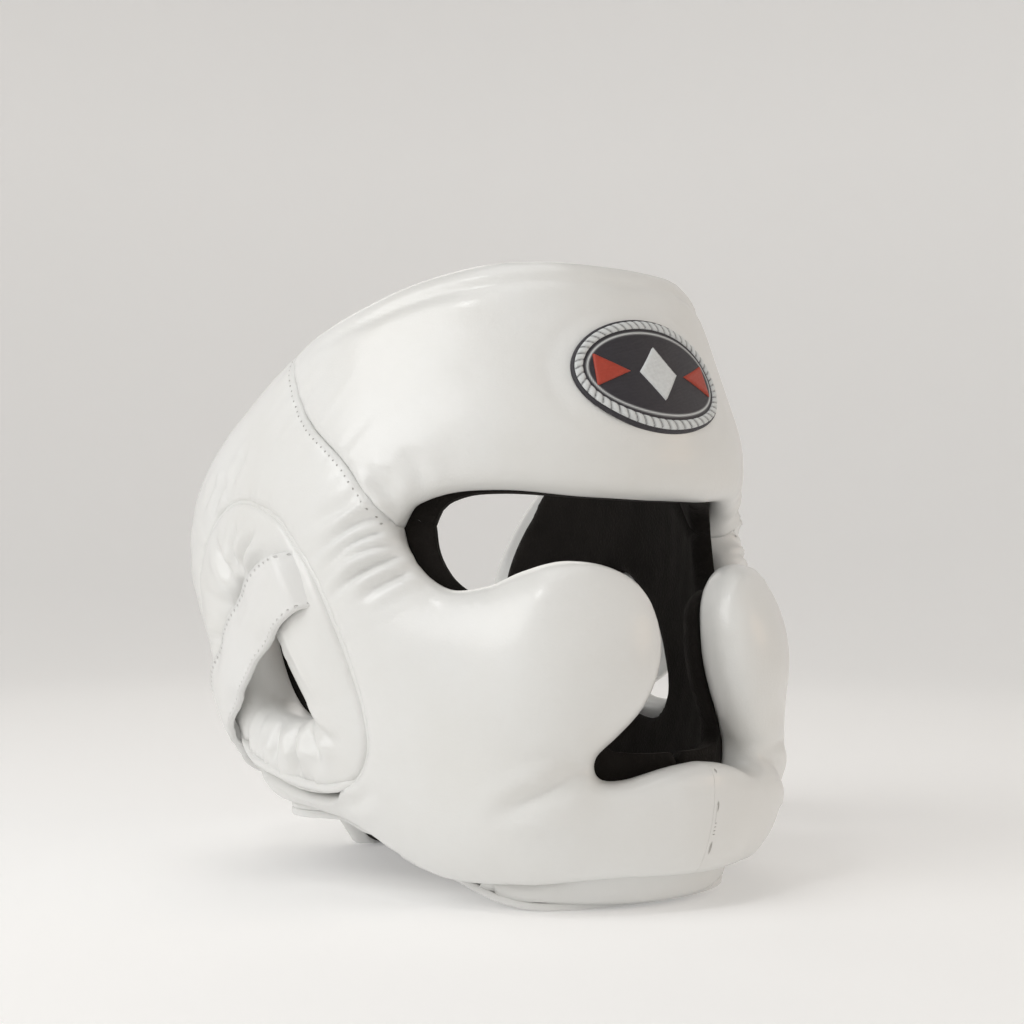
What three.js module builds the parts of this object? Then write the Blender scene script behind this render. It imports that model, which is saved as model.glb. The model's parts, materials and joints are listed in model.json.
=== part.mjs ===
// Full-face sparring headgear: white leather pads over a black lining, with a cheek and chin guard,
// padded ear rings, a strap round the back, a neck pad and a chin strap.
// Millimetres, +Z up, the face towards -Y, the wearer's left towards +X. It stands as it rests by
// itself, leaning back on its neck pad and its chin strap.
//
// Every pad is drawn on a flat pattern: "at" is the angle round the head in degrees, 0 at the nose and
// positive to the wearer's left, and "up" is the share of the height. The pattern is then wrapped on the
// seam surface, which is where the leather meets the lining, and padded outwards along its normal.

import * as THREE from "three";

// Driving sizes
const HEIGHT = 224; // floor to the brow rim's seam
const HALF_WIDTH = 88; // middle to the seam surface at the ears
const FRONT_REACH = 107; // middle to the seam surface at the cheeks
const REAR_REACH = 97; // middle to the seam surface at the neck
const FRONT_POWER = 2.05; // plan of the face half: 2 is an ellipse, more is boxier
const SIDE_PAD = 17; // padding outside the seam surface, over the temples and behind the ears
const BROW_RISE = 7; // extra padding on the forehead
const CHEEK_RISE = 16; // extra padding on the cheeks
const CHIN_RISE = 12; // extra padding on the chin bar
const RING_RISE = 6; // extra padding on the roll round the ear
const NECK_PAD = 14;
const CHIN_PAD = 13;
const CHIN_TUCK = 3.75; // how far under the jaw's edge the chin pad is sewn, where the jaw bulges over it
const EDGE_WALL = 0.3; // share of the depth at which an open edge turns under
const EDGE_OVERHANG = 0.42; // how far a padded edge bulges over its seam, for each millimetre past FLAT_EDGE
const FLAT_EDGE = 11; // padding thinner than this does not bulge over its seam
const SEAM_DIP = 2.2; // how deep a sewn seam pulls in
const SEAM_HOLD = 14; // from a seam to where an open edge bulges in full
const LINING = 8;
const GAP = 0.3; // between pieces that touch
const SEAM_GAP = 0.2; // each side of a sewn seam
const RING_GAP = 0.4; // each side of the seam round the ear ring, which turns more sharply
const STRAP_WIDTH = 26;
const STRAP_THICK = 2.4;
const CHIN_STRAP_WIDTH = 25;
const CHIN_STRAP_THICK = 2.5;
const BADGE_WIDTH = 66;
const BADGE_HEIGHT = 42;
const BADGE_THICK = 2.2;
const BADGE_RIM = 2.4; // black left showing outside the border, both sides together
const BADGE_BORDER = 3.6;
const BADGE_MARK = 0.8; // thickness of what is laid on the badge's base
const BADGE_FACETS = 24;
const BADGE_UP = 0.8; // share of the height at the badge's middle
const FACET = 7.8; // length of a facet on the leather
const LINING_FACET = 13;
const TAB_LENGTH = 46; // the fastened end that lies against the chin strap

// Plan sections of the seam surface, as shares of the height, half width, reaches and side padding
const SECTIONS = [
  { up: 0.0, width: 0.8, front: 0.97, rear: 0.62, power: 1.7, pad: 0.85 },
  { up: 0.12, width: 0.87, front: 1.04, rear: 0.68, power: 1.7, pad: 0.9 },
  { up: 0.24, width: 0.92, front: 1.05, rear: 0.76, power: 1.9, pad: 0.95 },
  { up: 0.39, width: 0.975, front: 1.0, rear: 0.94, power: 2.3, pad: 1 },
  { up: 0.52, width: 1.0, front: 0.94, rear: 1.09, power: 2.7, pad: 1 },
  { up: 0.65, width: 0.985, front: 0.9, rear: 1.13, power: 2.8, pad: 0.95 },
  { up: 0.82, width: 0.895, front: 0.805, rear: 1.08, power: 2.7, pad: 0.8 },
  { up: 1.0, width: 0.75, front: 0.715, rear: 0.98, power: 2.4, pad: 0.8 },
];

// Pattern lines on the wearer's left, each a smooth run of [at, up] points
const RIM = [
  [0, 1], [21, 1.0], [37, 0.985], [50, 0.966], [61, 0.944], [75, 0.915], [90, 0.877], [101, 0.843], [112, 0.8],
  [122, 0.745],
];
const RIM_REAR = [[122, 0.745], [130, 0.685], [136, 0.615], [140, 0.53], [141, 0.45]];
const BROW_EDGE = [[0, 0.645], [14, 0.647], [30, 0.652], [41, 0.645], [48, 0.625], [51.5, 0.585]];
const CHEEK_EDGE = [
  [51.5, 0.585], [48.5, 0.52], [41, 0.475], [33, 0.475], [26, 0.487], [20, 0.487], [15, 0.465],
  [12.5, 0.42], [12, 0.375], [13, 0.325], [15.5, 0.275], [17.5, 0.235], [16, 0.2], [11, 0.194], [0, 0.205],
];
const JAW = [
  [0, 0.093], [11, 0.091], [25, 0.067], [40, 0.063], [52, 0.098], [63, 0.132], [80, 0.152],
  [94, 0.163], [106, 0.2], [116, 0.25], [125, 0.275],
];
const BROW_SEAM = [[90, 0.877], [75.5, 0.755], [61.5, 0.673], [51.5, 0.585]];
const NECK_SEAM = [[125, 0.275], [133, 0.35], [141, 0.45]];
const NECK_TOP = [[141, 0.45], [150, 0.42], [165, 0.395], [180, 0.39]];
const NECK_BOTTOM = [[125, 0.275], [135, 0.225], [149, 0.11], [160, 0.02], [170, 0], [180, 0]];
const EAR_RING = [
  [98, 0.63], [106, 0.617], [113, 0.585], [118.5, 0.53], [120.5, 0.47], [120, 0.4], [117, 0.33], [110, 0.27],
  [98, 0.23], [84, 0.205], [72, 0.191], [62, 0.192], [56, 0.211], [53.5, 0.25], [54, 0.3], [56.5, 0.36],
  [60.5, 0.43], [66, 0.505], [72, 0.557], [79, 0.6], [88, 0.622],
];
const EAR_HOLE = [
  [97, 0.502], [91, 0.478], [85, 0.42], [77, 0.343], [71.5, 0.29], [76, 0.268], [88, 0.265],
  [98, 0.28], [103, 0.318], [104.5, 0.38], [103, 0.45],
];
const CHIN_PAD_BOTTOM = [[36, 0.044], [27, 0.027], [14, 0.021], [0, 0.02]];
const EAR_STRAP = [
  [64.5, 0.524], [69, 0.511], [76, 0.484], [85, 0.433], [95, 0.38], [108, 0.313], [122, 0.252], [136, 0.213],
  [150, 0.19], [165, 0.173], [180, 0.165], [193, 0.165],
];
const STRAP_LAP = [155, 167]; // where the left strap climbs over the end of the right one

// Corners of what is laid on the badge, as shares of its half width and half height
const WEDGE = [[0.36, 0], [0.76, -0.3], [0.76, 0.3]];
const DIAMOND = [[0.25, 0], [0, 0.5], [-0.25, 0], [0, -0.5]];

// Middle of the chin strap, from the jaw to the chin: shares of half width and front reach, and how far
// it drops from where it is sewn under the jaw (0) to the floor (1)
const CHIN_STRAP = [
  { across: 0.86, forward: -0.03, drop: 0 },
  { across: 0.83, forward: 0.14, drop: 0 },
  { across: 0.75, forward: 0.34, drop: 0.24 },
  { across: 0.66, forward: 0.53, drop: 0.56 },
  { across: 0.54, forward: 0.7, drop: 0.92 },
  { across: 0.38, forward: 0.81, drop: 1 },
  { across: 0.2, forward: 0.86, drop: 1 },
  { across: 0.0, forward: 0.87, drop: 1 },
];

// Swellings of the padding: where, how high as a share of its named rise, and how far it spreads
const SWELLINGS = [
  { at: 18, up: 0.42, rise: CHEEK_RISE, share: 1, wide: 10, tall: 0.13 },
  { at: 35, up: 0.26, rise: CHEEK_RISE, share: 0.25, wide: 24, tall: 0.14 },
  { at: 0, up: 0.15, rise: CHIN_RISE, share: 1, wide: 30, tall: 0.09 },
  { at: 0, up: 0.76, rise: BROW_RISE, share: 1, wide: 36, tall: 0.24 },
  { at: 72, up: 0.37, rise: RING_RISE, share: 1, wide: 12, tall: 0.16 },
  { at: 112, up: 0.38, rise: RING_RISE, share: 0.5, wide: 10, tall: 0.16 },
  { at: 86, up: 0.235, rise: RING_RISE, share: 0.5, wide: 22, tall: 0.05 },
];

const ARC = (HALF_WIDTH + FRONT_REACH) / 2; // radius that turns an angle into flat millimetres
const SIDES = { left: 1, right: -1 };

// Flat pattern

const flat = ([at, up]) => new THREE.Vector2(THREE.MathUtils.degToRad(at) * ARC, up * HEIGHT);

// A smooth line through pattern points, as flat points a few millimetres apart
function smoothLine(points, closed = false) {
  const curve = new THREE.CatmullRomCurve3(
    points.map((p) => new THREE.Vector3(flat(p).x, flat(p).y, 0)), closed, "centripetal");
  const steps = Math.ceil(curve.getLength() / (FACET / 2));
  const line = curve.getSpacedPoints(steps).map((p) => new THREE.Vector2(p.x, p.y));
  return closed ? line.slice(0, -1) : line;
}

const mirrored = (line) => line.map((p) => new THREE.Vector2(-p.x, p.y)).reverse();
const reversed = (line) => [...line].reverse();

// One closed loop from lines laid end to end, and the corners where they meet
function loopOf(...lines) {
  return { points: lines.flatMap((line) => line.slice(0, -1)), corners: lines.map((line) => line[0]) };
}

const LINES = {
  rim: smoothLine(RIM),
  rimRear: smoothLine(RIM_REAR),
  browEdge: smoothLine(BROW_EDGE),
  cheekEdge: smoothLine(CHEEK_EDGE),
  jaw: smoothLine(JAW),
  browSeam: smoothLine(BROW_SEAM),
  neckSeam: smoothLine(NECK_SEAM),
  neckTop: smoothLine(NECK_TOP),
  neckBottom: smoothLine(NECK_BOTTOM),
  earRing: smoothLine(EAR_RING, true),
  earHole: smoothLine(EAR_HOLE, true),
  chinBottom: smoothLine(CHIN_PAD_BOTTOM),
};
const chinEnd = flat(CHIN_PAD_BOTTOM[0]);
LINES.chinTop = LINES.jaw.filter((p) => p.x < chinEnd.x - 2).map((p) => new THREE.Vector2(p.x, p.y - CHIN_TUCK));
LINES.chinTop.push(chinEnd);
const rimFront = LINES.rim.filter((p) => p.x <= flat(BROW_SEAM[0]).x - 1).concat([flat(BROW_SEAM[0])]);
const rimSide = [flat(BROW_SEAM[0])].concat(LINES.rim.filter((p) => p.x >= flat(BROW_SEAM[0]).x + 1));
const chinSeam = smoothLine([JAW[0], [0, 0.155], CHEEK_EDGE[CHEEK_EDGE.length - 1]]);

function distanceToLine(p, line, closed) {
  let least = Infinity;
  let nearest = line[0];
  let along = line[0];
  const q = new THREE.Vector2();
  const last = closed ? line.length : line.length - 1;
  for (let i = 0; i < last; i++) {
    const a = line[i];
    const b = line[(i + 1) % line.length];
    const ab = b.clone().sub(a);
    const t = THREE.MathUtils.clamp(p.clone().sub(a).dot(ab) / (ab.lengthSq() || 1), 0, 1);
    q.copy(a).addScaledVector(ab, t);
    const d = q.distanceTo(p);
    if (d < least) {
      least = d;
      nearest = q.clone();
      along = ab.normalize();
    }
  }
  return { distance: least, nearest, along };
}

function insideLoop(p, loop) {
  let inside = false;
  loop.forEach((a, i) => {
    const b = loop[(i + 1) % loop.length];
    if (a.y > p.y !== b.y > p.y && p.x < ((b.x - a.x) * (p.y - a.y)) / (b.y - a.y) + a.x) inside = !inside;
  });
  return inside;
}

// Seam surface

function sectionAt(up) {
  const last = SECTIONS.length - 1;
  const u = THREE.MathUtils.clamp(up, SECTIONS[0].up, SECTIONS[last].up);
  const i = Math.min(last - 1, SECTIONS.findLastIndex((row) => row.up <= u));
  const [before, from, to, after] = [i - 1, i, i + 1, i + 2].map((k) => SECTIONS[THREE.MathUtils.clamp(k, 0, last)]);
  const t = (u - from.up) / (to.up - from.up);
  const slope = (key, a, b) => (b.up > a.up ? (b[key] - a[key]) / (b.up - a.up) : 0) * (to.up - from.up);
  const blend = (key) => {
    const [p, q, m, n] = [from[key], to[key], slope(key, before, to), slope(key, from, after)];
    const [t2, t3] = [t * t, t * t * t];
    return p * (2 * t3 - 3 * t2 + 1) + m * (t3 - 2 * t2 + t) + q * (3 * t2 - 2 * t3) + n * (t3 - t2);
  };
  return { width: blend("width"), front: blend("front"), rear: blend("rear"), power: blend("power"), pad: blend("pad") };
}

function seamPoint(x, y) {
  const angle = x / ARC;
  const section = sectionAt(y / HEIGHT);
  const [s, c] = [Math.sin(angle), Math.cos(angle)];
  const wide = HALF_WIDTH * section.width;
  const deep = c > 0 ? FRONT_REACH * section.front : REAR_REACH * section.rear;
  const power = c > 0 ? FRONT_POWER : section.power;
  const radius = ((Math.abs(s) / wide) ** power + (Math.abs(c) / deep) ** power) ** (-1 / power);
  return new THREE.Vector3(radius * s, -radius * c, y);
}

// The point that lies out millimetres outside the seam surface
function place(x, y, out) {
  const step = 2;
  const across = seamPoint(x + step, y).sub(seamPoint(x - step, y));
  const upward = seamPoint(x, y + step).sub(seamPoint(x, y - step));
  return seamPoint(x, y).addScaledVector(across.cross(upward).normalize(), out);
}

// Padding

// Lines with the side on which they are open: 1 is to the left of the way they run, -1 to the right
const bothSides = (line, open) => [line, mirrored(line)].map((points) => ({ points, open, closed: false }));
const OPEN_EDGES = [
  ...bothSides(LINES.rim, 1), ...bothSides(LINES.rimRear, 1), ...bothSides(LINES.browEdge, -1),
  ...bothSides(LINES.cheekEdge, -1), ...bothSides(LINES.jaw, -1),
  ...bothSides(LINES.earHole, 1).map((edge) => ({ ...edge, closed: true })),
];
const SEAMS = [
  ...bothSides(LINES.browSeam, 0), ...bothSides(LINES.neckSeam, 0), { points: chinSeam, open: 0, closed: false },
  ...bothSides(LINES.earRing, 0).map((edge) => ({ ...edge, closed: true })),
];

function nearestEdge(p, edges) {
  const hits = edges.map((edge) => ({ edge, ...distanceToLine(p, edge.points, edge.closed) }));
  return hits.reduce((a, b) => (a.distance < b.distance ? a : b));
}

// Full depth of the padding, before it rounds down to the edges
function swelledDepth(x, y) {
  const at = THREE.MathUtils.radToDeg(Math.abs(x) / ARC);
  const up = y / HEIGHT;
  return SWELLINGS.reduce((depth, s) => {
    const away = ((at - s.at) / s.wide) ** 2 + ((up - s.up) / s.tall) ** 2;
    return depth + s.rise * s.share * Math.exp(-away);
  }, SIDE_PAD * sectionAt(up).pad);
}

// Where the padding's face lies: how far it bulges along the pattern, and how deep it is
function rounded(p, depth, edges, across, toSeam) {
  const { distance, nearest, along, edge } = nearestEdge(p, edges);
  const run = Math.min(1, distance / (across * depth));
  const wall = EDGE_WALL * depth;
  const out = wall + (depth - wall) * (1 - (1 - run) ** 2.2) ** (1 / 2.2);
  const away = distance > 0.5 ? nearest.clone().sub(p).divideScalar(distance)
    : new THREE.Vector2(-along.y, along.x).multiplyScalar(edge.open);
  const held = THREE.MathUtils.smoothstep(toSeam, 0, SEAM_HOLD); // a seam holds the bulge in
  const bulge = away.multiplyScalar(EDGE_OVERHANG * Math.max(0, depth - FLAT_EDGE) * held * (1 - run) ** 2);
  return new THREE.Vector3(bulge.x, bulge.y, out);
}

function padFace(x, y) {
  const p = new THREE.Vector2(x, y);
  const depth = swelledDepth(x, y);
  const toSeam = nearestEdge(p, SEAMS).distance;
  const face = rounded(p, depth, OPEN_EDGES, 1, toSeam);
  face.z -= SEAM_DIP * Math.exp(-((toSeam / 1.5) ** 2));
  return face;
}

const neckEdges = [...bothSides(LINES.neckTop, 1), ...bothSides(LINES.neckBottom, -1)];
function neckFace(x, y) {
  const turned = Math.PI * ARC - Math.abs(Math.PI * ARC - x);
  const p = new THREE.Vector2(turned, y);
  const face = rounded(p, NECK_PAD, neckEdges, 1, distanceToLine(p, LINES.neckSeam, false).distance);
  if (turned !== x) face.x = -face.x;
  return face;
}

const chinEdges = [...bothSides(LINES.chinTop, 1), ...bothSides(LINES.chinBottom, 1)];
const chinFace = (x, y) => rounded(new THREE.Vector2(x, y), CHIN_PAD, chinEdges, 0.8, 0);

// Facets

// Triangles that fill a region of the pattern, with its edge on the region's own lines
function fillRegion(region, facet) {
  const loops = [region.outline.points, ...(region.holes ?? [])];
  const signedDistance = (p) => {
    const hits = loops.map((loop) => distanceToLine(p, loop, true));
    const nearest = hits.reduce((a, b) => (a.distance < b.distance ? a : b));
    const inside = loops.filter((loop) => insideLoop(p, loop)).length % 2 === 1;
    return { distance: inside ? nearest.distance : -nearest.distance, nearest: nearest.nearest };
  };
  const xs = region.outline.points.map((p) => p.x);
  const ys = region.outline.points.map((p) => p.y);
  const middle = (Math.min(...xs) + Math.max(...xs)) / 2;
  const reach = Math.ceil((Math.max(...xs) - middle) / facet) + 1;
  const [x0, y0] = [middle - reach * facet, Math.min(...ys) - facet];
  const rowHeight = facet * Math.sqrt(0.75);
  const columns = 2 * reach + 1;
  const rows = Math.ceil((Math.max(...ys) - y0) / rowHeight) + 2;
  const points = [];
  for (let j = 0; j < rows; j++) {
    for (let i = 0; i < columns; i++) {
      points.push(new THREE.Vector2(x0 + (i + (j % 2) / 2) * facet, y0 + j * rowHeight));
    }
  }
  const side = points.map((p) => {
    const { distance, nearest } = signedDistance(p);
    if (Math.abs(distance) > facet * 0.34) return distance;
    p.copy(nearest);
    return 0;
  });
  region.outline.corners.forEach((corner) => {
    const distances = points.map((p) => p.distanceTo(corner));
    const k = distances.indexOf(Math.min(...distances));
    points[k].copy(corner);
    side[k] = 0;
  });
  const crossings = new Map();
  const crossing = (a, b) => {
    const key = a < b ? `${a} ${b}` : `${b} ${a}`;
    if (!crossings.has(key)) {
      const t = side[a] / (side[a] - side[b]);
      crossings.set(key, points.length);
      points.push(signedDistance(points[a].clone().lerp(points[b], t)).nearest);
    }
    return crossings.get(key);
  };
  const triangles = [];
  const addTriangle = (a, b, c) => {
    const area = points[b].clone().sub(points[a]).cross(points[c].clone().sub(points[a]));
    if (area > 1e-3) triangles.push([a, b, c]);
  };
  const clip = (corners) => {
    if (corners.every((k) => side[k] === 0)) {
      const middle = corners.reduce((sum, k) => sum.add(points[k]), new THREE.Vector2()).divideScalar(3);
      if (signedDistance(middle).distance > 0) addTriangle(...corners);
      return;
    }
    const kept = corners.flatMap((k, i) => {
      const next = corners[(i + 1) % 3];
      const cut = side[k] * side[next] < 0 ? [crossing(k, next)] : [];
      return side[k] >= 0 ? [k, ...cut] : cut;
    });
    if (corners.some((k) => side[k] > 0)) {
      for (let i = 1; i + 1 < kept.length; i++) addTriangle(kept[0], kept[i], kept[i + 1]);
    }
  };
  for (let j = 0; j + 1 < rows; j++) {
    for (let i = 0; i + 1 < columns; i++) {
      const [a, b, c, d] = [j * columns + i, j * columns + i + 1, (j + 1) * columns + i, (j + 1) * columns + i + 1];
      const pair = j % 2 ? [[a, b, d], [a, d, c]] : [[a, b, c], [b, d, c]];
      pair.forEach(clip);
    }
  }
  return { points, triangles };
}

// A closed solid between two depths over a region of the pattern
function padSolid(region, outer, inner, facet = FACET, finish = (p) => p) {
  const { points, triangles } = fillRegion(region, facet);
  const used = [...new Set(triangles.flat())];
  const order = new Map(used.map((k, i) => [k, i]));
  const n = used.length;
  const skins = [outer, inner].flatMap((face) => used.map((k) => {
    const { x, y } = points[k];
    const moved = face(x, y);
    return finish(place(x + moved.x, y + moved.y, moved.z));
  }));
  const faces = [];
  const open = new Map();
  triangles.forEach((t) => {
    const [a, b, c] = t.map((k) => order.get(k));
    faces.push(a, b, c, a + n, c + n, b + n);
    [[a, b], [b, c], [c, a]].forEach(([p, q]) => {
      if (!open.delete(`${q} ${p}`)) open.set(`${p} ${q}`, [p, q]);
    });
  });
  open.forEach(([p, q]) => faces.push(p, p + n, q, q, p + n, q + n));
  return solidFrom(skins, faces);
}

function solidFrom(points, faces) {
  const geometry = new THREE.BufferGeometry();
  geometry.setAttribute("position", new THREE.Float32BufferAttribute(points.flatMap((p) => p.toArray()), 3));
  geometry.setIndex(faces);
  geometry.computeVertexNormals();
  return geometry;
}

function mirroredSolid(geometry) {
  const other = geometry.clone().scale(-1, 1, 1);
  const index = other.index.array;
  for (let i = 0; i < index.length; i += 3) [index[i + 1], index[i + 2]] = [index[i + 2], index[i + 1]];
  other.computeVertexNormals();
  return other;
}

// A flat band: one ring of corners for each station, closed at both ends or into a loop
function bandSolid(stations, looped = false) {
  const corners = stations[0].length;
  const faces = [];
  const total = corners * stations.length;
  for (let i = 0; i + (looped ? 0 : 1) < stations.length; i++) {
    for (let k = 0; k < corners; k++) {
      const [a, b] = [corners * i + k, corners * i + ((k + 1) % corners)];
      const [c, d] = [(a + corners) % total, (b + corners) % total];
      faces.push(a, b, c, b, d, c);
    }
  }
  const end = total - corners;
  for (let k = 1; k < corners / 2 && !looped; k++) {
    const [a, b, c, d] = [k - 1, k, corners - 1 - k, corners - k];
    faces.push(a, c, b, a, d, c);
    faces.push(end + a, end + b, end + c, end + a, end + c, end + d);
  }
  return solidFrom(stations.flat(), faces);
}

// A thin plate over a convex outline, in rings round its middle
function plateSolid(outline, outer, inner, rings) {
  const middle = outline.reduce((sum, p) => sum.add(p), new THREE.Vector2()).divideScalar(outline.length);
  const n = outline.length;
  const points = [middle];
  for (let k = 1; k <= rings; k++) outline.forEach((p) => points.push(middle.clone().lerp(p, k / rings)));
  const faces = [];
  const both = (a, b, c) => faces.push(a, b, c, a + points.length, c + points.length, b + points.length);
  for (let i = 0; i < n; i++) {
    const j = (i + 1) % n;
    both(0, 1 + i, 1 + j);
    for (let k = 1; k < rings; k++) {
      const [a, b, c, d] = [1 + (k - 1) * n + i, 1 + (k - 1) * n + j, 1 + k * n + i, 1 + k * n + j];
      both(a, c, d);
      both(a, d, b);
    }
    const [p, q] = [1 + (rings - 1) * n + i, 1 + (rings - 1) * n + j];
    faces.push(p, p + points.length, q, q, p + points.length, q + points.length);
  }
  return solidFrom([outer, inner].flatMap((face) => points.map((p) => place(p.x, p.y, face(p.x, p.y).z))), faces);
}

// Materials

const finish = (color, roughness) => new THREE.MeshStandardMaterial({ color, roughness, metalness: 0 });
const WHITE_LEATHER = finish(0xe9e9e6, 0.38);
const STRAP_LEATHER = finish(0xededec, 0.42);
const BLACK_LINING = finish(0x24221f, 0.92);
const BADGE_BLACK = finish(0x1d1b1c, 0.5);
const BADGE_WHITE = finish(0xdfe2e2, 0.5);
const BADGE_RED = finish(0xb3402c, 0.55);

const headgear = new THREE.Group();
function addPiece(name, geometry, material) {
  const piece = new THREE.Mesh(geometry, material);
  piece.name = name;
  headgear.add(piece);
}

// Pads and lining

const half = GAP / 2;
const inset = (loop, by) => {
  const n = loop.length;
  const turn = Math.sign(THREE.ShapeUtils.area(loop));
  return loop.map((p, i) => {
    const along = loop[(i + 1) % n].clone().sub(loop[(i - 1 + n) % n]).normalize();
    return new THREE.Vector2(p.x - along.y * by * turn, p.y + along.x * by * turn);
  });
};
const shrunk = (loop, by) => ({ points: inset(loop.points, by), corners: loop.corners.map((c) => {
  const at = loop.points.findIndex((p) => p.distanceTo(c) < 1e-6);
  return inset(loop.points, by)[at];
}) });

const browLoop = loopOf(
  reversed(mirrored(LINES.browSeam)), mirrored(LINES.browEdge), LINES.browEdge, reversed(LINES.browSeam),
  reversed(rimFront), reversed(mirrored(rimFront)));
const sideLoop = loopOf(
  reversed(chinSeam), LINES.jaw, LINES.neckSeam, reversed(LINES.rimRear), reversed(rimSide), LINES.browSeam,
  LINES.cheekEdge);
const chinLoop = loopOf(
  reversed(LINES.chinBottom), reversed(LINES.chinTop), reversed(mirrored(LINES.chinTop)),
  reversed(mirrored(LINES.chinBottom)));
const round = (line) => line.map((p) => new THREE.Vector2(2 * Math.PI * ARC - p.x, p.y));
const neckLoop = loopOf(
  LINES.neckBottom, reversed(round(LINES.neckBottom)), round(LINES.neckSeam), round(LINES.neckTop),
  reversed(LINES.neckTop), reversed(LINES.neckSeam));

const leatherIn = () => new THREE.Vector3(0, 0, half);
const liningOut = () => new THREE.Vector3(0, 0, -half);
const liningIn = () => new THREE.Vector3(0, 0, -half - LINING);

addPiece("brow_pad", padSolid({ outline: shrunk(browLoop, SEAM_GAP) }, padFace, leatherIn), WHITE_LEATHER);
addPiece("brow_lining", padSolid({ outline: shrunk(browLoop, 1) }, liningOut, liningIn, LINING_FACET), BLACK_LINING);

const sidePad = padSolid(
  { outline: shrunk(sideLoop, SEAM_GAP), holes: [inset(LINES.earRing, -RING_GAP)] }, padFace, leatherIn);
const earRing = padSolid(
  { outline: { points: inset(LINES.earRing, RING_GAP), corners: [] }, holes: [LINES.earHole] }, padFace, leatherIn);
const sideLining = padSolid(
  { outline: shrunk(sideLoop, 1), holes: [inset(LINES.earHole, -3)] }, liningOut, liningIn, LINING_FACET);

for (const [side, sign] of Object.entries(SIDES)) {
  const sided = (geometry) => (sign > 0 ? geometry : mirroredSolid(geometry));
  addPiece(`side_pad_${side}`, sided(sidePad), WHITE_LEATHER);
  addPiece(`ear_ring_${side}`, sided(earRing), WHITE_LEATHER);
  addPiece(`side_lining_${side}`, sided(sideLining), BLACK_LINING);
}

const FOOT = 2.5; // what lies lower than this is pressed flat by the weight
const rested = (p) => (p.z < FOOT ? p.setZ(0) : p);
addPiece("neck_pad", padSolid({ outline: shrunk(neckLoop, SEAM_GAP) }, neckFace, leatherIn, FACET, rested), WHITE_LEATHER);
addPiece(
  "neck_lining", padSolid({ outline: shrunk(neckLoop, 1) }, liningOut, liningIn, LINING_FACET, rested), BLACK_LINING);

addPiece("chin_pad", padSolid({ outline: shrunk(chinLoop, SEAM_GAP) }, chinFace, leatherIn), WHITE_LEATHER);

// Straps

// How far the padding stands out under a strap
function padUnder(x, y) {
  const seam = distanceToLine(new THREE.Vector2(x, y), LINES.neckSeam, false).nearest;
  return x > seam.x ? neckFace(x, y).z : padFace(x, y).z;
}

const smoothStep = (x, from, to) => THREE.MathUtils.smoothstep(x, flat([from, 0]).x, flat([to, 0]).x);

// A strap laid flat over the padding along a pattern line, lifted where it laps over another
function earStrap(lap) {
  const line = smoothLine(EAR_STRAP).filter((p, i) => i % 2 === 0);
  const across = line.map((p, i) => {
    const along = line[Math.min(i + 1, line.length - 1)].clone().sub(line[Math.max(i - 1, 0)]).normalize();
    return new THREE.Vector2(-along.y, along.x).multiplyScalar(STRAP_WIDTH / 2);
  });
  const least = line.map((p, i) => Math.max(...[-1, -0.7, -0.35, 0, 0.35, 0.7, 1].map((k) => {
    const q = p.clone().addScaledVector(across[i], k);
    return padUnder(q.x, q.y);
  })));
  const around = (values, i) => values.slice(Math.max(0, i - 2), i + 3);
  const highest = least.map((v, i) => Math.max(...around(least, i)));
  const lift = highest.map((v, i) => around(highest, i).reduce((sum, h) => sum + h, 0) / around(highest, i).length);
  return bandSolid(line.map((p, i) => {
    const under = Math.max(lift[i], least[i]) + 2 * GAP + lap * (STRAP_THICK + GAP) * smoothStep(p.x, ...STRAP_LAP);
    const at = (k, out) => place(p.x + across[i].x * k, p.y + across[i].y * k, out);
    const top = under + STRAP_THICK;
    return [at(-1, under), at(0, under), at(1, under), at(1, top), at(0, top), at(-1, top)];
  }));
}
addPiece("ear_strap_left", earStrap(1), STRAP_LEATHER);
addPiece("ear_strap_right", mirroredSolid(earStrap(0)), STRAP_LEATHER);

// The chin strap's underside from one jaw to the other, as points a few millimetres apart
const jawPoints = [sidePad, sideLining].flatMap((geometry) => {
  const position = geometry.getAttribute("position");
  return Array.from({ length: position.count }, (_, i) => new THREE.Vector3().fromBufferAttribute(position, i));
});
const underJaw = (x, y) => {
  const over = jawPoints.filter((p) => Math.hypot(p.x - Math.abs(x), p.y - y) < 0.65 * CHIN_STRAP_WIDTH);
  return Math.min(HEIGHT, ...over.map((p) => p.z)) - GAP - CHIN_STRAP_THICK;
};
const sewnUnder = underJaw(HALF_WIDTH * CHIN_STRAP[0].across, -FRONT_REACH * CHIN_STRAP[0].forward);
const chinHalf = CHIN_STRAP.map((row) =>
  new THREE.Vector3(HALF_WIDTH * row.across, -FRONT_REACH * row.forward, sewnUnder * (1 - row.drop)));
const chinOther = chinHalf.slice(0, -1).reverse().map((p) => new THREE.Vector3(-p.x, p.y, p.z));
const chinCurve = new THREE.CatmullRomCurve3([...chinHalf, ...chinOther], false, "centripetal");
const chinLine = chinCurve.getSpacedPoints(Math.ceil(chinCurve.getLength() / FACET));
chinLine.forEach((p) => p.setZ(Math.max(0, Math.min(p.z, underJaw(p.x, p.y)))));

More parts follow.
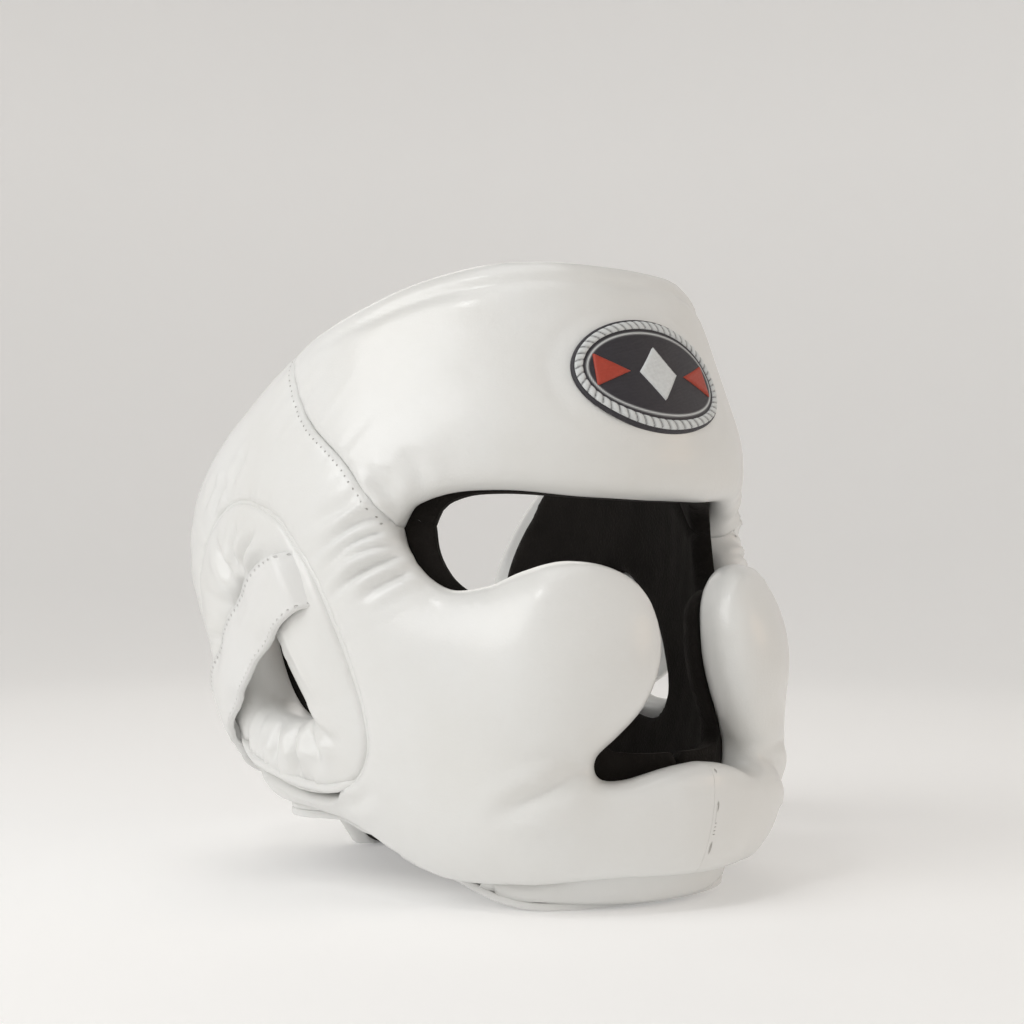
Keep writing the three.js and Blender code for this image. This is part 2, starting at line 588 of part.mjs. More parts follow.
function chinBand(line, raised) {
  return bandSolid(line.map((p, i) => {
    const along = line[Math.min(i + 1, line.length - 1)].clone().sub(line[Math.max(i - 1, 0)]).setZ(0).normalize();
    const at = (k, z) => new THREE.Vector3(p.x - along.y * k, p.y + along.x * k, p.z + raised + z);
    const wide = CHIN_STRAP_WIDTH / 2;
    return [at(-wide, 0), at(wide, 0), at(wide, CHIN_STRAP_THICK), at(-wide, CHIN_STRAP_THICK)];
  }));
}
addPiece("chin_strap", chinBand(chinLine, 0), STRAP_LEATHER);
const tabLine = chinLine.slice(-Math.ceil(TAB_LENGTH / FACET));
addPiece("chin_strap_tab", chinBand(tabLine, -CHIN_STRAP_THICK - GAP), STRAP_LEATHER);

// Badge

const badgeMiddle = new THREE.Vector2(0, HEIGHT * BADGE_UP);
const stretch = ARC / -place(0, badgeMiddle.y, padFace(0, badgeMiddle.y).z).y; // flat pattern over real width
const onBadge = (across, up) => new THREE.Vector2(across * stretch, up).add(badgeMiddle);
const oval = (wide, tall) => Array.from({ length: BADGE_FACETS }, (_, i) => {
  const turn = (i * 2 * Math.PI) / BADGE_FACETS;
  return onBadge((wide / 2) * Math.cos(turn), (tall / 2) * Math.sin(turn));
});
const above = (lift) => (x, y) => new THREE.Vector3(0, 0, padFace(x, y).z + lift);
const plate = (outline, from, thick, rings = 1) => plateSolid(outline, above(from + thick), above(from), rings);

const baseFrom = 2 * GAP;
const markFrom = baseFrom + BADGE_THICK + GAP;
addPiece("badge_base", plate(oval(BADGE_WIDTH, BADGE_HEIGHT), baseFrom, BADGE_THICK, 2), BADGE_BLACK);
const outerRing = oval(BADGE_WIDTH - BADGE_RIM, BADGE_HEIGHT - BADGE_RIM);
const innerRing = oval(BADGE_WIDTH - BADGE_RIM - 2 * BADGE_BORDER, BADGE_HEIGHT - BADGE_RIM - 2 * BADGE_BORDER);
addPiece("badge_border", bandSolid(outerRing.map((p, i) => {
  const at = (q, lift) => place(q.x, q.y, above(lift)(q.x, q.y).z);
  const [q, low, high] = [innerRing[i], markFrom, markFrom + BADGE_MARK];
  return [at(p, low), at(q, low), at(q, high), at(p, high)];
}), true), BADGE_WHITE);
const mark = (corners) => plate(
  corners.map(([across, up]) => onBadge((across * BADGE_WIDTH) / 2, (up * BADGE_HEIGHT) / 2)), markFrom, BADGE_MARK);
addPiece("badge_diamond", mark(DIAMOND), BADGE_WHITE);
addPiece("badge_wedge_left", mark(WEDGE), BADGE_RED);
addPiece("badge_wedge_right", mark(WEDGE.map(([across, up]) => [-across, up]).reverse()), BADGE_RED);

// The middle of the box round it all is the origin, on the floor
const box = new THREE.Box3().setFromObject(headgear);
const centre = box.getCenter(new THREE.Vector3());
headgear.position.set(-centre.x, -centre.y, -box.min.z);

export default headgear;
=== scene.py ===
import json
import math
from types import SimpleNamespace

import bmesh
import bpy
import numpy as np
from bpy.props import FloatProperty, FloatVectorProperty, IntProperty, PointerProperty
from mathutils import Matrix, Vector
from mathutils.kdtree import KDTree

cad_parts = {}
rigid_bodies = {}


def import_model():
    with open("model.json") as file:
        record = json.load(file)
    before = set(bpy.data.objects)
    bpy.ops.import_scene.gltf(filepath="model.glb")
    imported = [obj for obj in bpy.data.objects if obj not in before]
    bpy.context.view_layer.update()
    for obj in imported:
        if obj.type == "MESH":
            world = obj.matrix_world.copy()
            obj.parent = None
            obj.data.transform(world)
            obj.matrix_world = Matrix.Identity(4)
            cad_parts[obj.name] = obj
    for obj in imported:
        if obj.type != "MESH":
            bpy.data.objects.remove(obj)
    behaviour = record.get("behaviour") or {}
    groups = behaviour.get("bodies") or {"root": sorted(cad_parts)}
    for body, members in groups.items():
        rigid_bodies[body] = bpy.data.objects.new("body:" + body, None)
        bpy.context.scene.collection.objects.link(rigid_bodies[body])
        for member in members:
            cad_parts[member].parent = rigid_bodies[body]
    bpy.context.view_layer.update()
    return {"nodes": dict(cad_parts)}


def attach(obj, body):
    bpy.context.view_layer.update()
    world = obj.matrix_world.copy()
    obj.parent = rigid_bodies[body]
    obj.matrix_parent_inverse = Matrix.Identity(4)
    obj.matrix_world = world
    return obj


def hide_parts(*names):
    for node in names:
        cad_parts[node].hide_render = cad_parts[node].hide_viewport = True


bl_info = {
    "name": "Full-face sparring headgear",
    "version": (1, 0, 0),
    "blender": (4, 5, 0),
    "location": "View3D > Sidebar > Headgear",
    "description": "Padded leather sparring headgear with a cheek and chin guard, built round its fixed frame",
    "category": "Add Mesh",
}

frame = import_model()
MM = 0.001

# Plan sections of the seam surface: up, width, front, rear, power of the rear half, padding
SECTIONS = np.array([
    (0.0, 0.8, 0.97, 0.62, 1.7, 0.85), (0.12, 0.87, 1.04, 0.68, 1.7, 0.9), (0.24, 0.92, 1.05, 0.76, 1.9, 0.95),
    (0.39, 0.975, 1.0, 0.94, 2.3, 1.0), (0.52, 1.0, 0.94, 1.09, 2.7, 1.0), (0.65, 0.985, 0.9, 1.13, 2.8, 0.95),
    (0.82, 0.895, 0.805, 1.08, 2.7, 0.8), (1.0, 0.75, 0.715, 0.98, 2.4, 0.8),
])

# Pattern lines on the wearer's left: angle round the head in degrees, share of the height
RIM = [
    (0, 1), (21, 1.0), (37, 0.985), (50, 0.966), (61, 0.944), (75, 0.915), (90, 0.877), (101, 0.843), (112, 0.8),
    (122, 0.745),
]
RIM_REAR = [(122, 0.745), (130, 0.685), (136, 0.615), (140, 0.53), (141, 0.45)]
BROW_EDGE = [(0, 0.645), (14, 0.647), (30, 0.652), (41, 0.645), (48, 0.625), (51.5, 0.585)]
CHEEK_EDGE = [
    (51.5, 0.585), (48.5, 0.52), (41, 0.475), (33, 0.475), (26, 0.487), (19.5, 0.487), (14, 0.465), (11.5, 0.42),
    (10.8, 0.375), (12, 0.325), (15, 0.275), (17, 0.238), (15.8, 0.202), (11, 0.189), (0, 0.197),
]
JAW = [
    (0, 0.093), (11, 0.091), (25, 0.067), (40, 0.063), (52, 0.098), (63, 0.132), (80, 0.152), (94, 0.163),
    (106, 0.2), (116, 0.25), (125, 0.275),
]
CHIN_SEAM = [(0, 0.093), (0, 0.155), (0, 0.197)]
# Where the suede shows past the leather of the face opening
SUEDE_BROW_EDGE = [(0, 0.634), (14, 0.636), (30, 0.641), (38, 0.636), (43, 0.619), (45, 0.59)]
SUEDE_CHEEK_EDGE = [
    (45, 0.59), (44, 0.545), (40.5, 0.503), (35.5, 0.482), (26, 0.491), (19, 0.49), (13.2, 0.468), (10.6, 0.42),
    (9.8, 0.375), (10.9, 0.325), (13.6, 0.284), (15, 0.262), (13.5, 0.246), (9, 0.238), (0, 0.236),
]
SUEDE_BROW_SEAM = [(90, 0.877), (75.5, 0.755), (61.5, 0.673), (51.5, 0.607), (45, 0.59)]
BROW_SEAM = [(90, 0.877), (75.5, 0.755), (61.5, 0.673), (51.5, 0.585)]
NECK_SEAM = [(125, 0.275), (133, 0.35), (141, 0.45)]
NECK_TOP = [(141, 0.45), (150, 0.42), (165, 0.395), (180, 0.39)]
NECK_BOTTOM = [(125, 0.275), (135, 0.225), (149, 0.11), (160, 0.02), (170, 0), (180, 0)]
EAR_RING = [
    (98, 0.63), (106, 0.617), (113, 0.585), (118.5, 0.53), (120.5, 0.47), (120, 0.4), (117, 0.33), (110, 0.27),
    (98, 0.23), (84, 0.205), (72, 0.191), (62, 0.192), (56, 0.211), (53.5, 0.25), (54, 0.3), (56.5, 0.36),
    (60.5, 0.43), (66, 0.505), (72, 0.557), (79, 0.6), (88, 0.622),
]
EAR_HOLE = [
    (96.5, 0.508), (87.5, 0.472), (79.5, 0.42), (72.5, 0.35), (69, 0.292), (73.5, 0.27), (86, 0.274), (94.5, 0.3),
    (99.5, 0.34), (102.3, 0.4), (102, 0.46),
]
CHIN_PAD_BOTTOM = [(36, 0.044), (27, 0.027), (14, 0.021), (0, 0.02)]
EAR_STRAP = [
    (67, 0.513), (71.5, 0.503), (77, 0.482), (85, 0.44), (95, 0.386), (108, 0.316), (122, 0.254), (136, 0.213),
    (150, 0.19), (165, 0.173), (180, 0.165), (193, 0.165),
]
# Between which angles one ear strap rises over the other
STRAP_LAP = (155, 167)
# The chin strap's middle in plan on one side: shares of the half width and of the front reach
CHIN_STRAP = [
    (0.86, -0.03), (0.83, 0.14), (0.75, 0.34), (0.66, 0.53), (0.54, 0.7), (0.38, 0.81), (0.2, 0.86), (0, 0.87),
]
# Corners of the badge's shapes, as shares of half its width and height
WEDGE = [(0.36, 0), (0.76, -0.3), (0.76, 0.3)]
DIAMOND = [(0.25, 0), (0, 0.5), (-0.25, 0), (0, -0.5)]

# Swellings of the padding: angle, share of the height, which rise, share of it, spread in both directions
SWELLINGS = [
    (18, 0.42, "cheek_rise", 1, 10, 0.13), (35, 0.26, "cheek_rise", 0.25, 24, 0.14),
    (0, 0.15, "chin_rise", 1, 30, 0.09), (0, 0.76, "brow_rise", 1, 36, 0.24),
    (72, 0.37, "ring_rise", 1, 12, 0.16), (112, 0.38, "ring_rise", 0.5, 10, 0.16),
    (86, 0.235, "ring_rise", 0.5, 22, 0.05), (88, 0.176, "ring_rise", 0.7, 18, 0.035),
]

# Creases of each pad: its points, how deep it is in millimetres and how wide
SIDE_CREASES = [
    ([(47, 0.599), (55, 0.591), (61, 0.569), (68, 0.53)], 3.3, 1.8),
    ([(46.5, 0.582), (53.5, 0.573), (59, 0.553), (66, 0.505)], 4.1, 1.6),
    ([(46.5, 0.562), (54.5, 0.549), (59.5, 0.529), (64, 0.497)], 3.2, 1.5),
    ([(47, 0.547), (53.5, 0.525), (58, 0.505), (63.5, 0.462)], 2.9, 1.8),
    ([(46, 0.522), (52.5, 0.493), (56.5, 0.462)], 2.0, 1.7),
    ([(58, 0.61), (63, 0.6), (68, 0.575)], 0.8, 2.4),
    ([(107, 0.66), (110, 0.64), (113, 0.61)], 1.8, 2.2),
    ([(112, 0.665), (115, 0.645), (119, 0.63)], 1.5, 2.0),
    ([(99, 0.7), (102, 0.672), (103, 0.648)], 1.3, 2.4),
    ([(18, 0.222), (22, 0.203), (27, 0.182), (32, 0.155)], 2.2, 2.6),
    ([(18, 0.23), (22, 0.24), (27, 0.243)], 1.0, 2.4),
    ([(53, 0.19), (57, 0.17), (66, 0.16)], 0.9, 2.2),
    ([(95, 0.205), (101, 0.2), (110, 0.215)], 0.8, 2.2),
    ([(126, 0.3), (120, 0.33), (121, 0.37)], 0.8, 2.2),
    ([(138, 0.46), (131, 0.49), (126, 0.5)], 0.9, 2.4),
    ([(137, 0.56), (130, 0.56), (124, 0.55)], 0.7, 2.6),
]
RING_CREASES = [
    ([(90, 0.51), (85.5, 0.535), (80, 0.553)], 2.0, 2.2),
    ([(94, 0.528), (91, 0.56), (86, 0.592)], 2.6, 2.0),
    ([(97, 0.535), (97.5, 0.57), (97, 0.605)], 2.4, 2.2),
    ([(100.5, 0.52), (105, 0.55), (109, 0.58)], 2.6, 2.2),
    ([(103, 0.47), (110, 0.49), (115, 0.505)], 1.1, 2.0),
    ([(105, 0.42), (111, 0.425), (118, 0.43)], 0.9, 2.0),
    ([(104, 0.35), (111, 0.345), (116, 0.34)], 0.8, 2.4),
    ([(86, 0.274), (84, 0.243), (85, 0.21)], 3.0, 2.4),
    ([(77, 0.27), (74.5, 0.24), (76, 0.2)], 3.8, 2.3),
    ([(71, 0.275), (66.5, 0.247), (66, 0.212)], 3.0, 2.2),
    ([(69.5, 0.29), (64, 0.276), (58, 0.255)], 2.2, 2.0),
]
BROW_CREASES = [
    ([(51, 0.61), (52, 0.632), (55, 0.655), (58, 0.675)], 1.3, 2.0),
    ([(50, 0.6), (50, 0.63), (52, 0.66)], 1.0, 2.0),
    ([(45, 0.64), (46, 0.665), (50, 0.69)], 0.6, 2.4),
    ([(-62, 0.9), (-50, 0.925), (-36, 0.94), (-22, 0.945)], 0.5, 3.0),
    ([(18, 0.97), (26, 0.95), (33, 0.905)], 0.9, 3.0),
]
NECK_CREASES = [
    ([(135, 0.37), (143, 0.35), (150, 0.3)], 1.0, 2.4),
    ([(132, 0.33), (140, 0.29), (144, 0.24)], 0.9, 2.4),
    ([(152, 0.4), (156, 0.36), (158, 0.3)], 0.7, 2.6),
    ([(176, 0.38), (179, 0.33), (181, 0.29)], 0.6, 2.6),
]


# The open edges and the seams of each kind of pad: the line, and on which side of it an edge is open
EDGES = {
    "face": [("rim", 1), ("rim_rear", 1), ("brow_edge", -1), ("cheek_edge", -1), ("jaw", -1), ("ear_hole", 1)],
    "neck": [("neck_top", 1), ("neck_bottom", -1)],
    "chin": [("chin_top", 1), ("chin_bottom", 1)],
}
SEAMS = {
    "face": [("brow_seam", 0), ("neck_seam", 0), ("chin_seam", 0), ("ear_ring", 0)], "neck": [("neck_seam", 0)],
    "chin": [],
}
# How far in from an open edge the rounding reaches, as a share of the padding
EDGE_SPREAD = {"ear_hole": 0.66, "chin_top": 0.8, "chin_bottom": 0.8}
# Each seam: how deep its groove is, how wide, and over what reach it holds the open edges in
SEAM_SHAPE = {
    "brow_seam": (2.6, 3.4, 14), "neck_seam": (2.6, 3.4, 14), "ear_ring": (3.4, 3.8, 14), "chin_seam": (0.15, 0.8, 1),
}
MOUTH_CORNER = (16.5, 0.212)
MOUTH_HOLD, MOUTH_REACH = 0.85, 13
# A rounded edge: its power, the share of the padding that is a plain wall, and how padding over so many millimetres
# hangs past the pattern's line
ROUNDNESS, WALL_SHARE, FLAT_EDGE, OVERHANG = 2.2, 0.3, 11, 0.42
EVENING, EVENING_PASSES = 0.55, 40
# Half the gap between leather and lining, and by how much pads and rings stop short of their seams
GAP_HALF, SEAM_GAP, RING_GAP = 0.15, 0.2, 0.4
# How far inside the leather's lines the suede starts, and how far short of the rims it stops
SUEDE_GAP, SUEDE_SHORT = 0.02, 3.4
# In metres: how far apart two points still count as one, and how far the face guard leans to the wearer's left
WELD, LEAN = 0.00002, 0.0055

# Lights, aimed at the headgear: name, azimuth, elevation, distance, size, power, colour
LIGHTS = (
    ("Key", -88, 36, 1.25, 0.95, 5.45, (0.985, 0.995, 1)), ("Fill", 45, 14, 1.6, 0.7, 1.35, (1, 0.66, 0.38)),
    ("Spark", -64, 56, 1.2, 0.16, 0.9, (1, 1, 1)), ("Top", -30, 84, 1.3, 0.9, 2.2, (1, 1, 1)),
    ("Back", 150, 35, 1.5, 0.9, 1.8, (1, 0.96, 0.9)),
)
# The photograph's camera: focal length and shift as shares of the picture, place, and turn to the wearer's left
CAMERA_FOCUS, CAMERA_SENSOR, CAMERA_SHIFT = 1464 / 1024, 36, (32 / 1024, 88 / 1024)
CAMERA_AWAY, CAMERA_HEIGHT, CAMERA_TURN = 0.6, 0.106, math.radians(35)


def in_metres(name, description, default):
    return FloatProperty(name=name, description=description, default=default, unit="LENGTH")


def as_colour(name, description, *default):
    return FloatVectorProperty(name=name, description=description, default=default, subtype="COLOR")


class HeadgearSizes(bpy.types.PropertyGroup):
    """Sizes of the headgear, as its frame has them"""
    height: in_metres("Height", "From the floor to the brow rim's seam", 0.224)
    half_width: in_metres("Half width", "From the middle to the seam surface at the ears", 0.088)
    front_reach: in_metres("Front reach", "From the middle to the seam surface at the cheeks", 0.107)
    rear_reach: in_metres("Rear reach", "From the middle to the seam surface at the neck", 0.097)
    front_power: FloatProperty(name="Front power", description="Plan of the face half: 2 is an ellipse", default=2.05)
    side_pad: in_metres("Side padding", "Padding over the temples", 0.017)
    brow_rise: in_metres("Brow rise", "Extra padding on the forehead", 0.007)
    cheek_rise: in_metres("Cheek rise", "Extra padding on the cheeks", 0.016)
    chin_rise: in_metres("Chin rise", "Extra padding on the chin bar", 0.012)
    ring_rise: in_metres("Ring rise", "Extra padding round the ear", 0.006)
    neck_pad: in_metres("Neck padding", "Padding of the neck pad", 0.014)
    chin_pad: in_metres("Chin padding", "Padding under the chin bar", 0.013)
    chin_tuck: in_metres("Chin tuck", "How far under the jaw's edge the chin pad is sewn", 0.00375)
    lining: in_metres("Lining", "Thickness of the lining with its foam", 0.008)
    strap_width: in_metres("Strap width", "Width of the ear straps", 0.026)
    strap_thick: in_metres("Strap thickness", "Thickness of the ear straps", 0.0024)
    chin_strap_width: in_metres("Chin strap width", "Width of the chin strap", 0.025)
    badge_width: in_metres("Badge width", "Width of the oval badge", 0.066)
    badge_height: in_metres("Badge height", "Height of the oval badge", 0.042)
    badge_border: in_metres("Badge border", "Width of the badge's ring", 0.0036)
    badge_up: FloatProperty(name="Badge place", description="Share of the height at the badge's middle", default=0.8)
    row_shift: in_metres("Shift", "From the pattern's axis to the middle of the box", 0.018963)


class HeadgearFinish(bpy.types.PropertyGroup):
    """Colours and the fineness of the meshes"""
    leather: as_colour("Leather", "Colour of the pads", 0.82, 0.825, 0.815)
    strap: as_colour("Straps", "Colour of the straps", 0.83, 0.835, 0.83)
    lining: as_colour("Lining", "Colour of the suede", 0.0085, 0.0073, 0.0064)
    badge_dark: as_colour("Badge field", "Colour of the badge's field", 0.028, 0.025, 0.032)
    badge_pale: as_colour("Badge pale", "Colour of the badge's ring and diamond", 0.74, 0.76, 0.76)
    badge_red: as_colour("Badge red", "Colour of the badge's wedges", 0.44, 0.052, 0.026)
    cell: in_metres("Cell", "Size of a cell of the pads' meshes", 0.0011)
    stitch: in_metres("Stitch", "From one stitch to the next", 0.0028)
    crease: FloatProperty(name="Creases", description="Strength of creases and puckers", default=1.0)
    seed: IntProperty(name="Seed", description="Start of the puckers' pattern", default=7)


# Lines and curves

def hermite(a, slope_a, b, slope_b, t):
    return (a * (2 * t**3 - 3 * t**2 + 1) + slope_a * (t**3 - 2 * t**2 + t) + b * (3 * t**2 - 2 * t**3)
            + slope_b * (t**3 - t**2))


def smooth(x, low, high):
    t = np.clip((x - low) / (high - low), 0, 1)
    return t * t * (3 - 2 * t)


def bell(*terms):
    """1 where each x is at its middle, falling off over its width: terms of (x, middle, width)"""
    return np.exp(-sum(((x - middle) / width) ** 2 for x, middle, width in terms))


def rolled(run):
    """The rise of a rounded edge, from 0 to 1 over its run"""
    return (1 - (1 - run) ** ROUNDNESS) ** (1 / ROUNDNESS)


def unit(v):
    return v / np.maximum(np.linalg.norm(v, axis=1, keepdims=True), 1e-9)


def turned(v):
    """Directions turned a quarter to the left"""
    return np.stack([-v[:, 1], v[:, 0]], 1)


def measured(line):
    """How far along the line each of its points is"""
    return np.concatenate([[0], np.cumsum(np.linalg.norm(np.diff(line, axis=0), axis=1))])


def between(at, known, rows):
    return np.stack([np.interp(at, known, column) for column in rows.T], 1)


def nearer(best, found):
    """Point by point, the one of two findings that is less far off: lists that start with a distance"""
    if best is None:
        return found
    closer = found[0] < best[0]
    return [np.where(closer[:, None] if old.ndim > 1 else closer, new, old) for new, old in zip(found, best)]


def nearest_on(points, line, closed=False):
    """Distance to a line, the nearest point on it, how far along that is, and the line's direction there"""
    count = len(line)
    tree = KDTree(count)
    for i, (x, y) in enumerate(line):
        tree.insert((x, y, 0), i)
    tree.balance()
    nearest = np.array([tree.find((x, y, 0))[1] for x, y in points.tolist()], int)
    ab = (np.roll(line, -1, 0) if closed else np.concatenate([line[1:], line[-1:]])) - line
    long = np.sqrt(np.maximum((ab**2).sum(1), 1e-12))
    start = np.concatenate([[0], np.cumsum(long)])[:count]
    best = None
    for step in (-1, 0):
        k = nearest + step
        k = k % count if closed else np.clip(k, 0, count - 2)
        t = np.clip(((points - line[k]) * ab[k]).sum(1) / long[k] ** 2, 0, 1)
        foot = line[k] + t[:, None] * ab[k]
        best = nearer(best, [
            np.linalg.norm(foot - points, axis=1), foot, start[k] + t * long[k], ab[k] / long[k, None]])
    return best


def inside_loop(points, loop):
    inside = np.zeros(len(points), bool)
    for a, b in zip(loop, np.roll(loop, -1, 0)):
        crosses = (a[1] > points[:, 1]) != (b[1] > points[:, 1])
        if crosses.any():
            share = (b[0] - a[0]) * (points[:, 1] - a[1]) / ((b[1] - a[1]) or 1e-12)
            inside ^= crosses & (points[:, 0] < share + a[0])
    return inside


def signed_distance(points, loops):
    """Distance to the nearest outline, below 0 outside of the shape, and the point on it"""
    best, inside = None, np.zeros(len(points), bool)
    for loop in loops:
        best = nearer(best, nearest_on(points, loop, True)[:2])
        inside ^= inside_loop(points, loop)
    return np.where(inside, best[0], -best[0]), best[1]


def inset(loop, by):
    along = unit(np.roll(loop, -1, 0) - np.roll(loop, 1, 0))
    x, y = loop.T
    turn = np.sign((x * np.roll(y, -1) - np.roll(x, -1) * y).sum())
    return loop + turned(along) * by * turn


def flipped(line):
    return (line * (-1, 1))[::-1]


class Pattern:
    """The flat pattern and the surface that it is wrapped on, all in millimetres"""

    def __init__(self, sizes):
        self.sizes = sizes
        self.arc = (self.mm("half_width") + self.mm("front_reach")) / 2

    def mm(self, name):
        return getattr(self.sizes, name) / MM

    def flat(self, points):
        p = np.array(points, float).reshape(-1, 2)
        return np.stack([np.radians(p[:, 0]) * self.arc, p[:, 1] * self.mm("height")], 1)

    def wrapped(self, x, y):
        """The angle round the head in degrees and the share of the height"""
        return np.degrees(x / self.arc), y / self.mm("height")

    def line(self, points, closed=False, step=1.3):
        """A smooth line through pattern points, as flat points a millimetre or so apart"""
        p = self.flat(points)
        n = len(p)
        around = (lambda k: p[k % n]) if closed else (
            lambda k: 2 * p[0] - p[1] if k < 0 else 2 * p[-1] - p[-2] if k >= n else p[k])
        t = np.linspace(0, 1, 24, endpoint=False)[:, None]
        runs = []
        for k in range(n if closed else n - 1):
            a, b, c, d = (around(k + i) for i in (-1, 0, 1, 2))
            before, here, after = (max(1e-4, np.linalg.norm(v) ** 0.5) for v in (b - a, c - b, d - c))
            m = ((b - a) / before - (c - a) / (before + here) + (c - b) / here) * here
            q = ((c - b) / here - (d - b) / (here + after) + (d - c) / after) * here
            runs.append(hermite(b, m, c, q, t))
        fine = np.concatenate(runs + [p[:1] if closed else p[-1:]])
        s = measured(fine)
        even = between(np.linspace(0, s[-1], max(2, int(np.ceil(s[-1] / step))) + 1), s, fine)
        return even[:-1] if closed else even

    def section(self, up):
        u = np.clip(up, 0, 1)
        last = len(SECTIONS) - 1
        i = np.clip(np.searchsorted(SECTIONS[:, 0], u, side="right") - 1, 0, last - 1)
        rows = [SECTIONS[np.clip(i + k, 0, last)] for k in (-1, 0, 1, 2)]
        width = rows[2][..., :1] - rows[1][..., :1]
        m, n = ((b - a) / (b[..., :1] - a[..., :1]) * width for a, b in ((rows[0], rows[2]), (rows[1], rows[3])))
        both = hermite(rows[1], m, rows[2], n, (u[..., None] - rows[1][..., :1]) / width)
        return [both[..., k] for k in range(1, 6)]

    def seam(self, x, y):
        width, front, rear, power, _ = self.section(y / self.mm("height"))
        s, c = np.sin(x / self.arc), np.cos(x / self.arc)
        deep = np.where(c > 0, self.mm("front_reach") * front, self.mm("rear_reach") * rear)
        power = np.where(c > 0, self.sizes.front_power, power)
        radius = ((np.abs(s) / (self.mm("half_width") * width)) ** power + (np.abs(c) / deep) ** power) ** (-1 / power)
        return np.stack([radius * s, -radius * c, y], -1)

    def place(self, x, y, out):
        """The points that lie out millimetres outside the seam surface, in metres and in the frame's place"""
        across = self.seam(x + 2, y) - self.seam(x - 2, y)
        upward = self.seam(x, y + 2) - self.seam(x, y - 2)
        normal = np.cross(across, upward)
        normal /= np.linalg.norm(normal, axis=-1, keepdims=True)
        p = self.seam(x, y) + normal * np.asarray(out)[..., None]
        p[..., 1] += self.mm("row_shift")
        return p * MM

    def swelled(self, x, y):
        at, up = self.wrapped(np.abs(x), y)
        depth = self.mm("side_pad") * self.section(up)[4]
        for where, high, rise, share, wide, tall in SWELLINGS:
            depth = depth + self.mm(rise) * share * bell((at, where, wide), (up, high, tall))
        return depth


# Meshes

def doubled(bm):
    """Copies a whole mesh beside itself, and returns the copy's points and faces"""
    made = bmesh.ops.duplicate(bm, geom=bm.verts[:] + bm.edges[:] + bm.faces[:])["geom"]
    return [[g for g in made if isinstance(g, kind)] for kind in (bmesh.types.BMVert, bmesh.types.BMFace)]


def flat_mesh(loops, corners, cell):
    """A flat mesh over a region of the pattern: a grid whose cells are cut along the outline"""
    every = np.concatenate(loops)
    low, high = every.min(0), every.max(0)
    middle = (low + high) / 2
    count = np.ceil((high - low) / 2 / cell + 1.5).astype(int) * 2
    bm = bmesh.new()
    bmesh.ops.create_grid(bm, x_segments=int(count[0]), y_segments=int(count[1]), size=0.5)
    stretch = Matrix.Translation((*middle, 0)) @ Matrix.Diagonal((count[0] * cell, count[1] * cell, 1, 1))
    bmesh.ops.transform(bm, matrix=stretch, verts=bm.verts)
    side = bm.verts.layers.float.new("side")

    def points(verts):
        return np.array([v.co[:2] for v in verts])

    verts = list(bm.verts)
    distance, foot = signed_distance(points(verts), loops)
    for v, d, f in zip(verts, distance, foot):
        v[side] = d
        if abs(d) < 0.36 * cell:
            v.co.xy, v[side] = f, 0
    bmesh.ops.delete(bm, geom=[v for v in bm.verts if v[side] < -1.6 * cell], context="VERTS")
    verts = list(bm.verts)
    place = points(verts)
    for corner in corners:
        v = verts[int(np.linalg.norm(place - corner, axis=1).argmin())]
        v.co.xy, v[side] = corner, 0
    cuts = []
    for e in list(bm.edges):
        a, b = e.verts
        if a[side] * b[side] < 0:
            cuts.append(bmesh.utils.edge_split(e, a, a[side] / (a[side] - b[side]))[1])
            cuts[-1][side] = 0
    if cuts:
        for v, f in zip(cuts, signed_distance(points(cuts), loops)[1]):
            v.co.xy = f
    bmesh.ops.connect_verts(bm, verts=[v for v in bm.verts if v[side] == 0])
    faces = list(bm.faces)
    middles = signed_distance(np.array([f.calc_center_median()[:2] for f in faces]), loops)[0]
    outside = []
    for f, d in zip(faces, middles):
        sides = [v[side] for v in f.verts]
        if min(sides) < 0 if any(sides) else d < 0:
            outside.append(f)
    bmesh.ops.delete(bm, geom=outside, context="FACES")
    bmesh.ops.triangulate(bm, faces=[f for f in bm.faces if len(f.verts) > 4])
    inner = [v for v in bm.verts if 0 < v[side] < 2.5 * cell and not v.is_boundary]
    for _ in range(3):
        bmesh.ops.smooth_vert(bm, verts=inner, factor=0.5, use_axis_x=True, use_axis_y=True)
    return bm


def mirrored_mesh(bm, middle):
    """The half on one side of the line x = middle, and its mirror image, joined there"""
    bmesh.ops.translate(bm, vec=(-middle, 0, 0), verts=bm.verts)
    verts, faces = doubled(bm)
    bmesh.ops.scale(bm, vec=(-1, 1, 1), verts=verts)
    bmesh.ops.reverse_faces(bm, faces=faces)
    bmesh.ops.remove_doubles(bm, verts=bm.verts, dist=0.02)
    bmesh.ops.translate(bm, vec=(middle, 0, 0), verts=bm.verts)
    return bm


def thickened(bm, rows):
    """Gives a flat mesh side walls and a back. The layer "rise" is 1 on its face, 0 at the foot of its walls
    and -1 on its back; "x" and "y" keep the flat place."""
    rise, x, y = (bm.verts.layers.float.new(name) for name in ("rise", "x", "y"))
    for v in bm.verts:
        v[rise], v[x], v[y] = 1, v.co.x, v.co.y
    for v in doubled(bm)[0]:
        v[rise] = -1
    ring = [e for e in bm.edges if e.is_boundary and e.verts[0][rise] == 1]
    for k in range(rows):
        made = bmesh.ops.extrude_edge_only(bm, edges=ring)["geom"]
        for g in made:
            if isinstance(g, bmesh.types.BMVert):
                g[rise] = 1 - (k + 1) / rows
        ring = [g for g in made if isinstance(g, bmesh.types.BMEdge) and g.is_boundary]
    return bm


def object_from(bm, name, material):
    """Ends a mesh as an object with smooth faces"""
    for f in bm.faces:
        f.smooth = True
    mesh = bpy.data.meshes.new(name)
    bm.to_mesh(mesh)
    bm.free()
    mesh.materials.append(material)
    obj = bpy.data.objects.new(name, mesh)
    bpy.context.scene.collection.objects.link(obj)
    return obj


